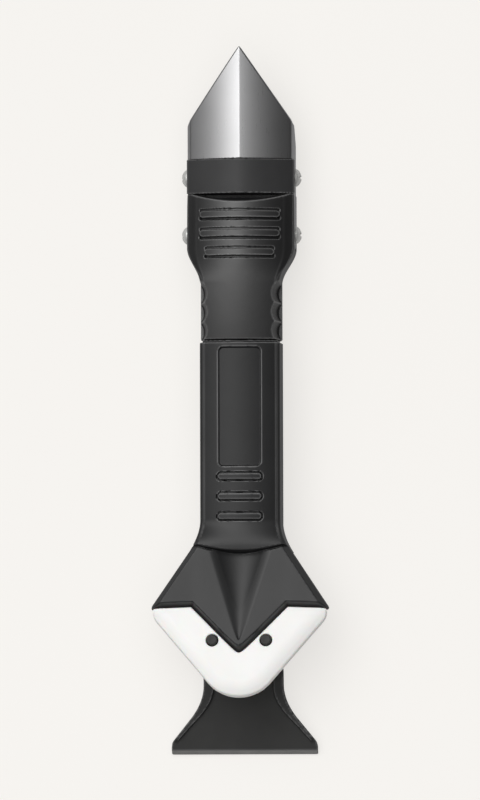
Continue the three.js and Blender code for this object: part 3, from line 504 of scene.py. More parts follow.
def gutter(x, v, w):
    """A cone that narrows and rises to nothing near the arrow's point."""
    radius = (GUTTER_HALF**2 + GUTTER_DEPTH**2) / (2 * GUTTER_DEPTH)
    share = (v + GUTTER_LENGTH) / GUTTER_LENGTH
    return np.hypot(x, w - (radius - GUTTER_DEPTH) * share) - radius * share


def crease_line(x):
    """The crease bows down in the middle."""
    return CREASE - CREASE_SAG + CREASE_BOW * (x / ARROW_ROOT) ** 2


def arrow_field(x, y, z):
    v, w = head_frame(y, z)
    retreat = ROOT_RETREAT * np.maximum(y - CREASE, 0)
    slant = (np.abs(x) - handle_half(y) + retreat) * FLANK_COSINE
    lower = arrow_lower(x, v)
    body = meet(meet(slant, lower, 1.2), meet(w, -ARROW_THICK - w, 0.2), 0.2)
    side_bevel = slanted(slant + SIDE_BEVEL, w, BEVEL_SLOPE)
    lower_bevel = slanted(lower + LOWER_BEVEL, w, BEVEL_SLOPE)
    body = meet(body, meet(side_bevel, lower_bevel, 0.5), 0.25)
    body = carve(body, gutter(x, v, w), 0.7)
    groove = np.abs(y - crease_line(x) + GROOVE_BELOW) - GROOVE_HALF
    body = carve(body, meet(groove, -w - GROOVE_DEPTH, 0.1), 0.15)
    return meet(body, y - CREASE - ARROW_TOP, 0.2)


def handle_barrel(x, y, z):
    ramp = ease((CREASE + RAMP_RUN - y) / RAMP_RUN)
    crown = mix(HANDLE_HEIGHT, RAMP_TOP, ramp)
    drop = mix(CROWN_DROP, RAMP_DROP, ramp)
    half = handle_half(y)
    return barrel(x, z, half, HANDLE_CORNER, PARTING, FLANK_LEAN, crown, drop, 0.25, SHOULDER_BEVEL)


def spigot_field(x, y, z):
    outside = rounded_box(x, z, -SPIGOT_HALF, SPIGOT_HALF, SPIGOT_LOW, SPIGOT_TOP, SPIGOT_ROUND)
    return meet(meet(outside, y - SPIGOT_END, 0.6), -SPIGOT_ROOT - y, 0.2)


def spigot_bore(x, y, z):
    half, low, top = SPIGOT_HALF - SPIGOT_WALL, SPIGOT_LOW + SPIGOT_WALL, SPIGOT_TOP - SPIGOT_WALL
    return np.maximum(rounded_box(x, z, -half, half, low, top, BORE_ROUND), CREASE + STORE_END - y)


def panelled(body, x, y):
    """The long recess, whose walls lean out with the depth."""
    panel = rounded_box(x, y, -PANEL_HALF, PANEL_HALF, PANEL_LOW, PANEL_TOP, PANEL_ROUND)
    panel = panel - PANEL_DRAFT * body
    return carve(body, meet(panel, -(body + PANEL_DEPTH), 0.1), 0.1)


def barred(body, x, y, skin):
    """Raised bars, each in a moat of its own."""
    for i in range(BARS):
        bar = stadium(x, y, BAR_HALF, CREASE + BAR_FIRST + BAR_PITCH * i, BAR_WIDTH)
        moat = meet(np.abs(bar - MOAT_MIDDLE) - MOAT_HALF, -(body + MOAT_DEPTH), 0.1)
        body = join(carve(body, moat, 0.1), meet(bar, skin - BAR_RISE, 0.3), 0.1)
    return body


def arrow_root(x, y, w):
    """Block that joins the arrow to the parting plane."""
    half = ROOT_HALF - ROOT_TAPER * (CREASE - y)
    root = meet(np.abs(x) - half, between(y, CREASE - ROOT_LENGTH, CREASE + ARROW_TOP), 1.2)
    return meet(root, w + ARROW_THICK - ROOT_DEPTH, 0.3)


def front_field(x, y, z):
    skin = handle_barrel(x, y, z)
    body = barred(panelled(skin, x, y), x, y, skin)
    ring = collar(body, y)
    crease_end = slanted(z - HEAD_RISE, crease_line(x) - y, CREASE_SLANT)
    body = join(meet(meet(body, crease_end, 0.3), y, 0.3), ring, 0.1)
    v, w = head_frame(y, z)
    body = join(body, arrow_root(x, y, w), 0.6)
    body = join(body, arrow_field(x, y, z), 0.25)
    body = join(body, spigot_field(x, y, z), 0.3)
    body = carve(body, spigot_bore(x, y, z), 0.3)
    slot = meet(np.abs(x) - TONGUE_HALF - GAP, v - SLOT_TOP, 0.4)
    slot = meet(slot, between(w, -ARROW_THICK - SLOT_DEPTH, -ARROW_THICK), 0.2)
    return meet(carve(body, slot, 0.2), PARTING + SPLIT_PLAY - z, 0.22)


# ---------------------------------------------------------------- rear shell and scraper


def underside(y):
    return (y - HEEL) * SCRAPER_SLOPE


def scraper_half(y):
    flare = blend_max(SCRAPER_NECK, SCRAPER_HALF - (y - LAND) * FLARE, FLARE_BLEND)
    return blend_min(flare, SCRAPER_HALF, 1.0)


def rear_tube(x, y, z):
    """Rear half of the handle, which thins into the scraper's neck."""
    t = ease((CREASE - TAPER_START - y) / TAPER_RUN)
    base = blend_min(TAPER_RISE * t, underside(y), 1.2)
    top = blend_min(PARTING, underside(y) + SCRAPER_THICK, 0.8)
    half = mix(HANDLE_HALF, SCRAPER_NECK, t)
    corner, low = mix(HANDLE_CORNER, NECK_CORNER, t), mix(PARTING, NECK_LOW, t)
    tube = meet(lower_round(x, z, half, corner, low, base), z - top, 0.3)
    ring = collar(tube, y)
    return join(meet(meet(tube, y, 0.3), TUBE_END - y, 0.2), ring, 0.1)


def scraper_plate(y, z, edge):
    """Flared sheet with a honed bevel at the heel."""
    sheet = np.maximum(z - underside(y) - SCRAPER_THICK, underside(y) - z)
    plate = meet(meet(sheet, edge, 0.3), y - PLATE_END, 0.2)
    hone_top = underside(HEEL + HONE) + SCRAPER_THICK
    bevel = line(y, z, HEEL, HONE_EDGE, HEEL + HONE, hone_top)
    return meet(meet(plate, -bevel, 0.08), HEEL - y, 0.1)


def scraper_rim(y, z, edge):
    """Raised rims along the scraper's flared sides."""
    width = mix(SIDE_RIM, SIDE_RIM_WIDE, ease((y - LAND) / SIDE_RIM_RUN))
    fall = ease((SIDE_RIM_END + 1 - y) / SIDE_RIM_FALL)
    height = SIDE_RIM_HEIGHT * ease((y - LAND) / SIDE_RIM_RISE) * fall
    rim = meet(edge, -edge - width, 0.3)
    rim = meet(rim, z - underside(y) - SCRAPER_THICK - height, 0.25)
    rim = meet(meet(rim, underside(y) + 1 - z, 0.2), LAND - y, 0.2)
    return meet(rim, y - SIDE_RIM_END, 0.5)


def rear_field(x, y, z):
    edge = (np.abs(x) - scraper_half(y)) * SIDE_COSINE
    body = join(rear_tube(x, y, z), scraper_plate(y, z, edge), 0.5)
    body = join(body, scraper_rim(y, z, edge), 0.35)
    body = join(body, meet(spigot_field(x, y, z), z - PARTING, 0.1), 0.3)
    body = carve(body, spigot_bore(x, y, z), 0.3)
    for px, py in CLAMP_PLACES:
        well = meet(bore(x - px, y - py, CLAMP_WELL), z - CLAMP_SEAT, 0.15)
        body = carve(body, well, 0.35)
    return meet(body, z - PARTING + SPLIT_PLAY, 0.22)


# ---------------------------------------------------------------- pad, plate, pegs and screws


def pad_plan(x, v):
    """Flanks and round nose of the pad."""
    ax, dv = np.abs(x), v - PAD_CENTRE
    s, c = math.sin(PAD_FLANK), math.cos(PAD_FLANK)
    flank = ax * s - dv * c - PAD_NOSE
    nose = np.hypot(x, dv) - PAD_NOSE
    return np.where(ax * c + dv * s < 0, nose, flank)


def pad_field(x, y, z):
    v, w = head_frame(y, z)
    flank = pad_plan(x, v)
    plan = meet(meet(flank, np.abs(x) - PAD_HALF, 1.0), GAP - arrow_lower(x, v), 0.35)
    bevel = slanted(w + PAD_STEP, flank + PAD_BEVEL, PAD_BEVEL_SLOPE)
    slab = np.maximum(w + PAD_STEP, -ARROW_THICK - w)
    body = meet(meet(slab, bevel, 0.8), plan, 0.45)
    hole = bore(np.abs(x) - PEG_SPREAD, v + PEG_REACH, PEG_RADIUS + PEG_PLAY)
    return carve(body, hole, 0.3)


def support_field(x, y, z):
    v, w = head_frame(y, z)
    side = PAD_HALF - SUPPORT_INSET
    plan = meet(pad_plan(x, v) + SUPPORT_INSET, np.abs(x) - side, SUPPORT_ROUND)
    wing = line(np.abs(x), v, NOTCH, SUPPORT_TOP, side, SUPPORT_WING)
    plan = meet(plan, np.maximum(-wing, v - SUPPORT_TOP), SUPPORT_ROUND)
    tongue = meet(np.abs(x) - TONGUE_HALF, between(v, TONGUE_LOW, TONGUE_TOP), 1.0)
    plan = join(plan, tongue, SUPPORT_ROUND)
    top = -ARROW_THICK - GAP
    return meet(plan, between(w, top - SUPPORT_THICK, top), 0.5)


def peg_field(x, y, z):
    top = -PAD_STEP + PEG_PROUD
    shaft = meet(np.hypot(x, y) - PEG_RADIUS, z - top, 0.4)
    dimple = np.hypot(np.hypot(x, y), z - top - DIMPLE_RISE) - DIMPLE_RADIUS
    return meet(carve(shaft, dimple, 0.15), -ARROW_THICK - GAP - PEG_FOOT - z, 0.2)


def screw_field(x, y, z, scale):
    """Round head with a cross recess above z = 0 and a plain shank below."""
    r = np.hypot(x, y)
    radius, height = HEAD_RADIUS * scale, HEAD_HEIGHT * scale
    ball = (radius**2 + height**2) / (2 * height) * HEAD_FLATNESS
    head = np.maximum(np.hypot(r, z - height + ball) - ball, -z)
    head = meet(head, r - radius, HEAD_RIM)
    head = np.maximum(head, (r - radius + HEAD_RIM - z) * math.sqrt(0.5))
    arm = np.minimum(np.abs(x), np.abs(y)) - CROSS_HALF * scale
    cross = meet(arm, r - CROSS_REACH * scale, 0.15)
    head = carve(head, meet(cross, CROSS_FLOOR * height - z, 0.1), 0.1)
    shank = meet(r - SHANK_RADIUS * SHANK_PLAY, between(z, SHANK_CUT - SHANK_LENGTH, SHANK_LAP), 0.3)
    return np.minimum(head, shank)


# ---------------------------------------------------------------- meshing

CORNERS = np.array([(i, j, k) for i in (0, 1) for j in (0, 1) for k in (0, 1)])
EDGES = [
    (a, b) for a in range(8) for b in range(a + 1, 8) if np.abs(CORNERS[a] - CORNERS[b]).sum() == 1
]
BLOCK = 4
BLOCK_REACH = 1.9
BOX_MARGIN = 1.0
PROBE_STEP = 0.02
SETTLE_ROUNDS, SETTLE_REACH, LEAST_SLOPE = 4, 0.7, 0.05
# Steps for sharpness, which paints convex edges paler: part wear, part painted highlight.
EDGE_STEP, EDGE_GAIN, EDGE_FLOOR = 0.22, 0.32, 0.12


def sampled(field, low, high, voxel):
    """Field values on a grid, worked out only in the blocks of cells near the surface."""
    coarse = voxel * BLOCK
    counts = np.ceil((high - low) / coarse).astype(int) + 2
    start = low - coarse / 2
    middle = (BLOCK - 1) / (2 * BLOCK)
    rough_axes = [start[i] + coarse * (np.arange(counts[i]) + middle) for i in range(3)]
    rough = field(*np.meshgrid(*rough_axes, indexing="ij"))
    near = np.abs(rough) < coarse * BLOCK_REACH
    values = np.where(rough < 0, -1.0, 1.0)
    for axis in range(3):
        values = values.repeat(BLOCK, axis)
        near = near.repeat(BLOCK, axis)
    axes = [start[i] + voxel * np.arange(counts[i] * BLOCK) for i in range(3)]
    i, j, k = np.nonzero(near)
    values[near] = field(axes[0][i], axes[1][j], axes[2][k])
    return values, start


def corner_count(inside):
    """How many of each cell's eight corners lie inside."""
    size = np.array(inside.shape) - 1
    count = np.zeros(size, np.int8)
    for a, b, c in CORNERS:
        count += inside[a : a + size[0], b : b + size[1], c : c + size[2]]
    return count


def cell_points(values, cells):
    """One point in each cell: the mean of the places where the surface crosses its edges."""
    corner = np.stack([values[tuple((cells + c).T)] for c in CORNERS], 1)
    total = np.zeros((len(cells), 3))
    hits = np.zeros(len(cells))
    for a, b in EDGES:
        fa, fb = corner[:, a], corner[:, b]
        crossed = (fa < 0) != (fb < 0)
        share = np.where(crossed, fa / np.where(crossed, fa - fb, 1), 0)
        total += crossed[:, None] * (CORNERS[a] + share[:, None] * (CORNERS[b] - CORNERS[a]))
        hits += crossed
    return cells + total / hits[:, None]


def cell_quads(inside, number):
    """A quad across each grid edge that passes through the surface, wound to face outwards."""
    unit = np.eye(3, dtype=int)
    quads = []
    for axis in range(3):
        ahead = np.take(inside, range(1, inside.shape[axis]), axis)
        here = np.take(inside, range(inside.shape[axis] - 1), axis)
        turned = np.argwhere(ahead != here)
        du, dw = unit[(axis + 1) % 3], unit[(axis + 2) % 3]
        ring = [turned - du - dw, turned - dw, turned, turned - du]
        quad = np.stack([number[tuple(c.T)] for c in ring], 1)
        outward = here[tuple(turned.T)]
        quads.append(np.where(outward[:, None], quad, quad[:, ::-1]))
    return np.concatenate(quads)


def probe(field, points):
    """Field value and slope at points."""
    steps = PROBE_STEP * np.eye(3)
    slope = [(field(*(points + s).T) - field(*(points - s).T)) / (2 * PROBE_STEP) for s in steps]
    return field(*points.T), np.stack(slope, 1)


def settled(field, points, voxel):
    """Points moved onto the surface, none of them far, with the surface's normals there."""
    home = points.copy()
    limit = SETTLE_REACH * voxel
    for _ in range(SETTLE_ROUNDS):
        value, slope = probe(field, points)
        step = (value / np.maximum((slope**2).sum(1), LEAST_SLOPE))[:, None] * slope
        points = home + np.clip(points - step - home, -limit, limit)
    slope = probe(field, points)[1]
    return points, slope / np.maximum(np.linalg.norm(slope, axis=1), TINY)[:, None]


def surface(field, low, high, voxel):
    """Vertices, quads and normals of the field's zero surface (surface nets, then projection)."""
    values, start = sampled(field, np.array(low, float), np.array(high, float), voxel)
    inside = values < 0
    count = corner_count(inside)
    cells = np.argwhere((count > 0) & (count < len(CORNERS)))
    number = np.full(count.shape, -1)
    number[tuple(cells.T)] = np.arange(len(cells))
    quads = cell_quads(inside, number)
    if quads.min() < 0:
        raise ValueError("a surface leaves its grid")
    points, normals = settled(field, start + voxel * cell_points(values, cells), voxel)
    return points, quads, normals


def sharpness(field, points):
    """How strongly the surface bends outwards, from 0 on flats and hollows to 1 on edges."""
    steps = EDGE_STEP * np.eye(3)
    around = sum(field(*(points + s).T) + field(*(points - s).T) for s in steps)
    return np.clip(around / EDGE_STEP**2 * EDGE_GAIN - EDGE_FLOOR, 0, 1)


def mesh_object(name, points, faces, normals=None, edge=None):
    """A smooth mesh object from points in millimetres, already in place."""
    data = bpy.data.meshes.new(name)
    data.from_pydata((points * MM).tolist(), [], faces.tolist())
    data.polygons.foreach_set("use_smooth", np.ones(len(data.polygons), dtype=bool))
    if normals is not None:
        data.normals_split_custom_set_from_vertices(normals.tolist())
    if edge is not None:
        data.attributes.new("edge", "FLOAT", "POINT").data.foreach_set("value", edge)
    data.update()
    made = bpy.data.objects.new(name, data)
    bpy.context.scene.collection.objects.link(made)
    return made


def build(name, node, body, field, voxel, material, wear_and_highlight_share=None):
    """Meshes a field in the box of the CAD node that it stands for; the last argument scales how
    much the convex edges are painted paler (part wear, part painted highlight).
    """
    low, high = reach(node)
    box = low - BOX_MARGIN, high + BOX_MARGIN
    points, faces, normals = surface(field, *box, voxel * FINE)
    # Convexity, kept as the "edge" attribute: it paints convex edges paler, part wear and part
    # painted highlight.
    edge = sharpness(field, points)
    if wear_and_highlight_share is not None:
        edge = edge * wear_and_highlight_share(*points.T)
    points[:, 1] += SEAM
    made = mesh_object(name, points, faces, normals, edge)
    made.data.materials.append(material)
    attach(made, body)
    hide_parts(node)


# ---------------------------------------------------------------- materials

STOP_LOW, STOP_HIGH = 0.3, 0.7
# Paler grey painted on convex edges: part wear, part painted highlight.
EDGE_WEAR_AND_HIGHLIGHT_GREY = (0.115, 0.115, 0.117)
EDGE_WEAR_AND_HIGHLIGHT_GREY_LIGHT = (0.16, 0.16, 0.162)
# Painted highlight: paler grey painted on the scraper's honed bevel at the heel.
BEVEL_HIGHLIGHT_GREY = (0.19, 0.19, 0.187)
BEVEL_HIGHLIGHT_GREY_LIGHT = (0.24, 0.24, 0.236)
SILICONE_WHITE = (0.9, 0.895, 0.88)
SILICONE_WHITE_LIGHT = (0.94, 0.94, 0.93)
# Reach and fade of the painted highlight on the heel's bevel.
BEVEL_HIGHLIGHT_WIDTH, BEVEL_HIGHLIGHT_FADE = 1.1, 0.12
BEVEL_HIGHLIGHT_EDGE = (HEEL + BEVEL_HIGHLIGHT_WIDTH + SEAM) * MM


class Nodes:
    """Short spelling for the nodes of one material."""

    def __init__(self, name):
        self.material = bpy.data.materials.new(name)
        self.material.use_nodes = True
        self.tree = self.material.node_tree
        self.shader = self.tree.nodes["Principled BSDF"]
        self.place = self.add("ShaderNodeTexCoord").outputs["Object"]

    def add(self, kind, inputs=None, **settings):
        """A node of one kind, with sockets linked and constants set by input name."""
        node = self.tree.nodes.new(kind)
        for key, value in settings.items():
            setattr(node, key, value)
        for key, value in (inputs or {}).items():
            if isinstance(value, bpy.types.NodeSocket):
                self.tree.links.new(value, node.inputs[key])
            else:
                node.inputs[key].default_value = value
        return node

    def link(self, out, name):
        self.tree.links.new(out, self.shader.inputs[name])

    def set(self, **values):
        for name, value in values.items():
            self.shader.inputs[name.replace("_", " ")].default_value = value

    def stretched(self, scale):
        mapping = self.add("ShaderNodeMapping", {"Vector": self.place, "Scale": scale})
        return mapping.outputs["Vector"]

    def noise(self, scale, detail=3.0, rough=0.55, vector=None):
        node = self.add(
            "ShaderNodeTexNoise",
            {"Vector": vector or self.place, "Scale": scale, "Detail": detail, "Roughness": rough},
        )
        return node.outputs["Fac"]

    def cloudy(self, fac, dark, light, high=STOP_HIGH):
        """A colour that drifts from dark to light with the noise."""
        node = self.add("ShaderNodeValToRGB", {"Fac": fac})
        for element, at, colour in zip(node.color_ramp.elements, (STOP_LOW, high), (dark, light)):
            element.position = at
            element.color = (*colour, 1)
        return node.outputs["Color"]

    def mixed(self, fac, first, second):
        node = self.add("ShaderNodeMixRGB", {"Fac": fac, "Color1": first, "Color2": second})
        return node.outputs["Color"]

    def span(self, fac, low, high):
        node = self.add("ShaderNodeMapRange", {"Value": fac, "To Min": low, "To Max": high})
        return node.outputs["Result"]

    def bump(self, height, strength, distance, under=None):
        """A bump map, on top of another where one is given."""
        inputs = {"Height": height, "Strength": strength, "Distance": distance}
        if under:
            inputs["Normal"] = under
        return self.add("ShaderNodeBump", inputs).outputs["Normal"]


def shade(tone, factor):
    return tuple(min(c * factor, 1) for c in tone)


def painted_bevel_highlight(m, colour, edge):
    """Painted highlight: the plastic paled below a place along the tool, for the light on the
    scraper's honed bevel.
    """
    along = m.add("ShaderNodeSeparateXYZ", {"Vector": m.place}).outputs["Y"]
    strip = m.add(
        "ShaderNodeMapRange",
        {"Value": along, "From Min": edge + BEVEL_HIGHLIGHT_FADE * MM, "From Max": edge},
    )
    highlight_colour = m.cloudy(m.noise(scale=200.0), BEVEL_HIGHLIGHT_GREY, BEVEL_HIGHLIGHT_GREY_LIGHT)
    return m.mixed(strip.outputs["Result"], colour, highlight_colour)


def moulded_plastic(name, tone, gloss, sheen, bevel_highlight_below=None):
    """Black satin plastic with fine grain and faint flow marks; convex edges painted paler (part
    wear, part painted highlight), and, where asked, a painted highlight below a place.
    """
    m = Nodes(name)
    cloud = m.noise(scale=55.0, detail=4.0)
    colour = m.cloudy(cloud, shade(tone, 0.86), shade(tone, 1.16), high=0.72)
    # Convex edges painted paler: part wear, part painted highlight.
    edge = m.add("ShaderNodeAttribute", attribute_name="edge").outputs["Fac"]
    colour = m.mixed(edge, colour, m.cloudy(cloud, EDGE_WEAR_AND_HIGHLIGHT_GREY, EDGE_WEAR_AND_HIGHLIGHT_GREY_LIGHT))
    # Painted highlight on the scraper's honed bevel, where asked.
    if bevel_highlight_below is not None:
        colour = painted_bevel_highlight(m, colour, bevel_highlight_below)
    m.link(colour, "Base Color")
    flow = m.noise(scale=90.0, detail=2.0, vector=m.stretched((1.0, 0.12, 1.0)))
    m.link(m.span(flow, low=gloss - 0.05, high=gloss + 0.07), "Roughness")
    wavy = m.bump(m.noise(scale=140.0, detail=2.0), strength=0.12, distance=0.4 * MM)
    grain = m.noise(scale=3400.0, detail=2.0, rough=0.6)
    m.link(m.bump(grain, strength=0.16, distance=0.06 * MM, under=wavy), "Normal")
    m.set(Specular_IOR_Level=sheen)
    return m.material


def brushed_steel(name, tone, rough, along, metallic):
    """Stainless steel with fine brushing along one direction."""
    m = Nodes(name)
    lines = m.noise(scale=260.0, detail=5.0, rough=0.65, vector=m.stretched(along))
    cloud = m.noise(scale=40.0)
    m.link(m.cloudy(cloud, shade(tone, 0.95), shade(tone, 1.04)), "Base Color")
    m.link(m.span(lines, low=rough - 0.05, high=rough + 0.08), "Roughness")
    m.link(m.bump(lines, strength=0.05, distance=0.03 * MM), "Normal")
    m.set(Metallic=metallic)
    return m.material


def silicone(name):
    """White moulded silicone: soft, slightly see-through, with a satin skin."""
    m = Nodes(name)
    m.link(m.cloudy(m.noise(scale=60.0), SILICONE_WHITE, SILICONE_WHITE_LIGHT), "Base Color")
    m.link(m.span(m.noise(scale=400.0), low=0.42, high=0.56), "Roughness")
    m.link(m.bump(m.noise(scale=900.0, detail=2.0), strength=0.06, distance=0.05 * MM), "Normal")
    m.set(Subsurface_Weight=0.12, Subsurface_Scale=1.5 * MM, Specular_IOR_Level=0.4)
    return m.material


CAP_BLACK = moulded_plastic("cap_black", (0.012, 0.012, 0.0125), gloss=0.34, sheen=1.0)
BAND_BLACK = moulded_plastic("band_black", (0.026, 0.026, 0.027), gloss=0.45, sheen=0.5)
HANDLE_BLACK = moulded_plastic("handle_black", (0.012, 0.0122, 0.0128), gloss=0.34, sheen=0.5)
# The scraper's honed bevel at the heel gets a painted highlight.
SCRAPER_BLACK = moulded_plastic(
    "scraper_black", (0.03, 0.03, 0.0295), gloss=0.46, sheen=0.4, bevel_highlight_below=BEVEL_HIGHLIGHT_EDGE
)
PEG_GREY = moulded_plastic("peg_grey", (0.03, 0.03, 0.029), gloss=0.5, sheen=0.4)
BLADE_STEEL = brushed_steel(
    "blade_steel", (0.73, 0.73, 0.74), rough=0.28, along=(14.0, 0.4, 5.0), metallic=1.0
)
SCREW_STEEL = brushed_steel(
    "screw_steel", (0.92, 0.92, 0.9), rough=0.3, along=(2.0, 2.0, 2.0), metallic=0.6
)
WHITE = silicone("white_silicone")

# ---------------------------------------------------------------- pieces

# Share of the paler edges (part wear, part painted highlight) on the arrow head, and where it rises
# to full.
HEAD_WEAR_AND_HIGHLIGHT, WEAR_AND_HIGHLIGHT_START, WEAR_AND_HIGHLIGHT_RUN = 0.2, 1.0, 5.0
SCREW_VOXEL, PEG_VOXEL = 0.12, 0.16
SCREW_MARGIN, SCREW_MARGIN_TOP = 0.5, 0.6
BLADE_CROSS_TURN, CLAMP_CROSS_TURN = 0.5, 0.4
PEG_BOX = (-2.5, -2.5, -9.0), (2.5, 2.5, 0.5)
SIDES = [("left", -1), ("right", 1)]
ENDS = [("front", FRONT_SCREW), ("rear", REAR_SCREW)]


def handle_wear_and_highlight(x, y, z):
    """Share of the paler edges, part wear and part painted highlight: less on the arrow head than on
    the handle.
    """
    return mix(HEAD_WEAR_AND_HIGHLIGHT, 1.0, ease((y - CREASE - WEAR_AND_HIGHLIGHT_START) / WEAR_AND_HIGHLIGHT_RUN))


build("steel_blade", "blade", "cap", blade_field, 0.3, BLADE_STEEL)
build("band_and_holder", "blade_holder", "cap", holder_field, 0.42, BAND_BLACK)
build("pull_off_cap", "cap", "cap", cap_field, 0.315, CAP_BLACK)
build(
    "front_half_shell",
    "handle_front_shell",
    "handle",
    front_field,
    0.36,
    HANDLE_BLACK,
    handle_wear_and_highlight,
)
build(
    "rear_half_shell",
    "handle_rear_shell",
    "handle",
    rear_field,
    0.42,
    SCRAPER_BLACK,
)
build("support_plate", "pad_support", "handle", support_field, 0.5, CAP_BLACK)
build("silicone_pad", "finishing_pad", "pad", pad_field, 0.42, WHITE)


def rotated(angle, axis):
    return Matrix.Rotation(angle, 4, axis)


def placed(x, y, z, turn):
    return Matrix.Translation(Vector((x, y + SEAM, z)) * MM) @ turn


def screw_copies(body, screws, scale, length):
    """One screw mesh, set in each place; screws lists piece, node and place."""
    side = HEAD_RADIUS * scale + SCREW_MARGIN
    low = (-side, -side, -length - SCREW_MARGIN)
    high = (side, side, HEAD_HEIGHT * scale + SCREW_MARGIN_TOP)
    mesh = surface(lambda x, y, z: screw_field(x, y, z, scale), low, high, SCREW_VOXEL * FINE)
    for name, node, matrix in screws:
        made = mesh_object(name, *mesh)
        made.data.materials.append(SCREW_STEEL)
        made.matrix_world = matrix
        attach(made, body)
        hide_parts(node)


def blade_screws():
    """Four screws that point inwards, each with its cross turned its own way."""
    for end, y in ENDS:
        for side, sign in SIDES:
            turn = rotated(sign * math.pi / 2, "Y") @ rotated(BLADE_CROSS_TURN + sign, "Z")
            place = placed(sign * CAP_HALF, y, SCREW_Z, turn)
            yield f"round_head_screw_{end}_{side}", f"blade_screw_{end}_{side}", place


def clamp_screws():
    """Four screws with their heads down, in the wells of the rear shell."""
    for i, (x, y) in enumerate(CLAMP_PLACES):
        turn = rotated(math.pi, "X") @ rotated(CLAMP_CROSS_TURN * i, "Z")
        yield f"clamp_screw_{i + 1}", f"handle_screw_{i + 1}", placed(x, y, CLAMP_SEAT, turn)


def pegs():
    """Two pegs, square to the tilted head."""
    mesh = surface(peg_field, *PEG_BOX, PEG_VOXEL * FINE)
    head = placed(0, CREASE, HEAD_RISE, rotated(-TILT, "X"))
    for side, sign in SIDES:
        peg = mesh_object(f"peg_{side}", *mesh)
        peg.data.materials.append(PEG_GREY)
        seat = Vector((sign * PEG_SPREAD, -PEG_REACH, 0)) * MM
        peg.matrix_world = head @ Matrix.Translation(seat)
        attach(peg, "handle")
        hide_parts(f"pad_peg_{side}")


screw_copies("cap", blade_screws(), 1.0, SHANK_LENGTH)
screw_copies("handle", clamp_screws(), CLAMP_SCALE, CLAMP_LENGTH)
pegs()

# ---------------------------------------------------------------- floor, light and camera, in metres

FLOOR_HALF, FLOOR_DROP = 3.0, 0.0002
FLOOR_GREY = (0.23, 0.226, 0.218)
FLOOR_GREY_LIGHT = (0.24, 0.236, 0.228)
FLOOR_GLOW = (0.93, 0.91, 0.88, 1)
LIGHT_LEFT = math.radians(16.5)
LIGHT_AHEAD = math.radians(25)
LIGHT_WHITE = (1.0, 0.997, 0.99, 1)
CORE_FOCUS, CORE_STRENGTH = 16.0, 2.6
GLOW_FOCUS, GLOW_STRENGTH = 3.0, 0.6
GROUND_RISE, GROUND_STRENGTH = 8.0, 0.22
ROOM_STRENGTH = 0.03
PANEL_SIZE, PANEL_PLACE, PANEL_POWER = (1.4, 1.6), (-0.12, 0.05, 1.1), 9.0
PANEL_WHITE = (1.0, 0.995, 0.985)
TARGET = Vector((-0.0005, 0.0001, 0.012))
LEAN_RIGHT, LEAN_HEEL, ROLL = math.radians(4.0), math.radians(2.8), math.radians(0.15)
DISTANCE, WIDTH_SEEN = 3.2, 0.2434
CLIP_NEAR, CLIP_FAR = 0.01, 20


def floor():
    """Pale ground that glows a little, so that the tool's soft shadow stays faint on it."""
    ends = (-FLOOR_HALF, FLOOR_HALF)
    corners = [(x, y, 0) for y in ends for x in ends]
    made = mesh_object("floor", np.array(corners) / MM, np.array([(0, 1, 3, 2)]))
    made.location.z = -FLOOR_DROP
    m = Nodes("pale_floor")
    m.link(m.cloudy(m.noise(scale=3.0), FLOOR_GREY, FLOOR_GREY_LIGHT), "Base Color")
    m.set(Roughness=0.9, Specular_IOR_Level=0.0)
    m.set(Emission_Color=FLOOR_GLOW, Emission_Strength=0.75)
    made.data.materials.append(m.material)
    made.visible_glossy = False


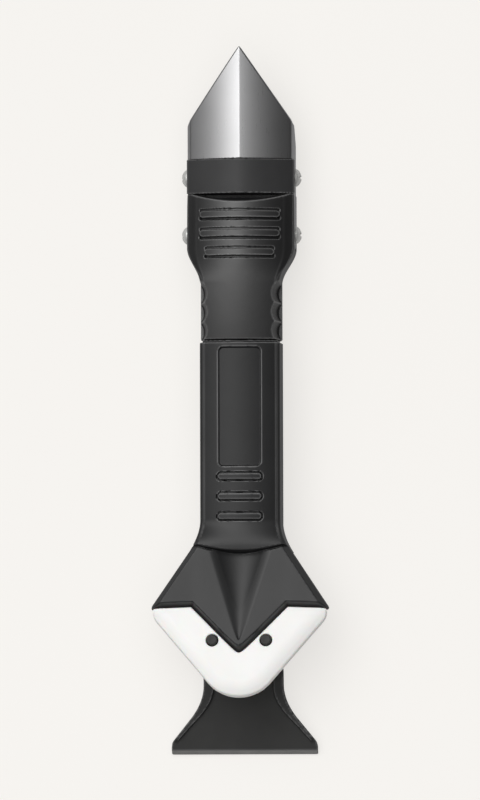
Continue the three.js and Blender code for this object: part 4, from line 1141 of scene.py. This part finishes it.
def sky():
    """Dim room with one broad soft light ahead of the tool and a little to the left."""
    world = bpy.data.worlds.new("studio")
    bpy.context.scene.world = world
    world.use_nodes = True
    nodes, links = world.node_tree.nodes, world.node_tree.links

    def math_node(operation, a, b):
        node = nodes.new("ShaderNodeMath")
        node.operation = operation
        for socket, value in zip(node.inputs, (a, b)):
            if isinstance(value, float):
                socket.default_value = value
            else:
                links.new(value, socket)
        return node.outputs["Value"]

    def beam(facing, focus, strength):
        return math_node("MULTIPLY", math_node("POWER", facing, focus), strength)

    towards = Vector((-math.tan(LIGHT_LEFT), math.tan(LIGHT_AHEAD), 1)).normalized()
    place = nodes.new("ShaderNodeTexCoord")
    dot = nodes.new("ShaderNodeVectorMath")
    dot.operation = "DOT_PRODUCT"
    dot.inputs[1].default_value = towards
    links.new(place.outputs["Generated"], dot.inputs[0])
    facing = math_node("MAXIMUM", dot.outputs["Value"], 0.0)
    core = beam(facing, CORE_FOCUS, CORE_STRENGTH)
    glow = beam(facing, GLOW_FOCUS, GLOW_STRENGTH)
    split = nodes.new("ShaderNodeSeparateXYZ")
    links.new(place.outputs["Generated"], split.inputs["Vector"])
    below = math_node("MULTIPLY", math_node("MINIMUM", split.outputs["Z"], 0.0), -GROUND_RISE)
    ground = math_node("MULTIPLY", math_node("MINIMUM", below, 1.0), GROUND_STRENGTH)
    dim = math_node("ADD", ground, ROOM_STRENGTH)
    total = math_node("ADD", math_node("ADD", core, glow), dim)
    links.new(total, nodes["Background"].inputs["Strength"])
    nodes["Background"].inputs["Color"].default_value = LIGHT_WHITE


def soft_light():
    """Large overhead panel that lights the matt surfaces evenly."""
    data = bpy.data.lights.new("overhead_panel", "AREA")
    data.shape = "RECTANGLE"
    data.size, data.size_y = PANEL_SIZE
    data.energy = PANEL_POWER
    data.color = PANEL_WHITE
    lamp = bpy.data.objects.new("overhead_panel", data)
    lamp.location = PANEL_PLACE
    lamp.visible_glossy = False
    bpy.context.scene.collection.objects.link(lamp)


def camera():
    """Looks straight down, a little from the right and from the heel's side."""
    data = bpy.data.cameras.new("camera")
    data.lens = data.sensor_width * DISTANCE / WIDTH_SEEN
    data.clip_start, data.clip_end = CLIP_NEAR, CLIP_FAR
    made = bpy.data.objects.new("camera", data)
    height = math.cos(LEAN_RIGHT) * math.cos(LEAN_HEEL)
    back = Vector((math.sin(LEAN_RIGHT), -math.sin(LEAN_HEEL), height))
    place = TARGET + back * DISTANCE
    forward = (TARGET - place).normalized()
    right = forward.cross(Vector((math.sin(ROLL), math.cos(ROLL), 0))).normalized()
    up = right.cross(forward)
    facing = Matrix((right, up, -forward)).transposed().to_4x4()
    made.matrix_world = Matrix.Translation(place) @ facing
    bpy.context.scene.collection.objects.link(made)
    bpy.context.scene.camera = made


floor()
sky()
soft_light()
camera()
bpy.context.scene.view_settings.view_transform = "Standard"
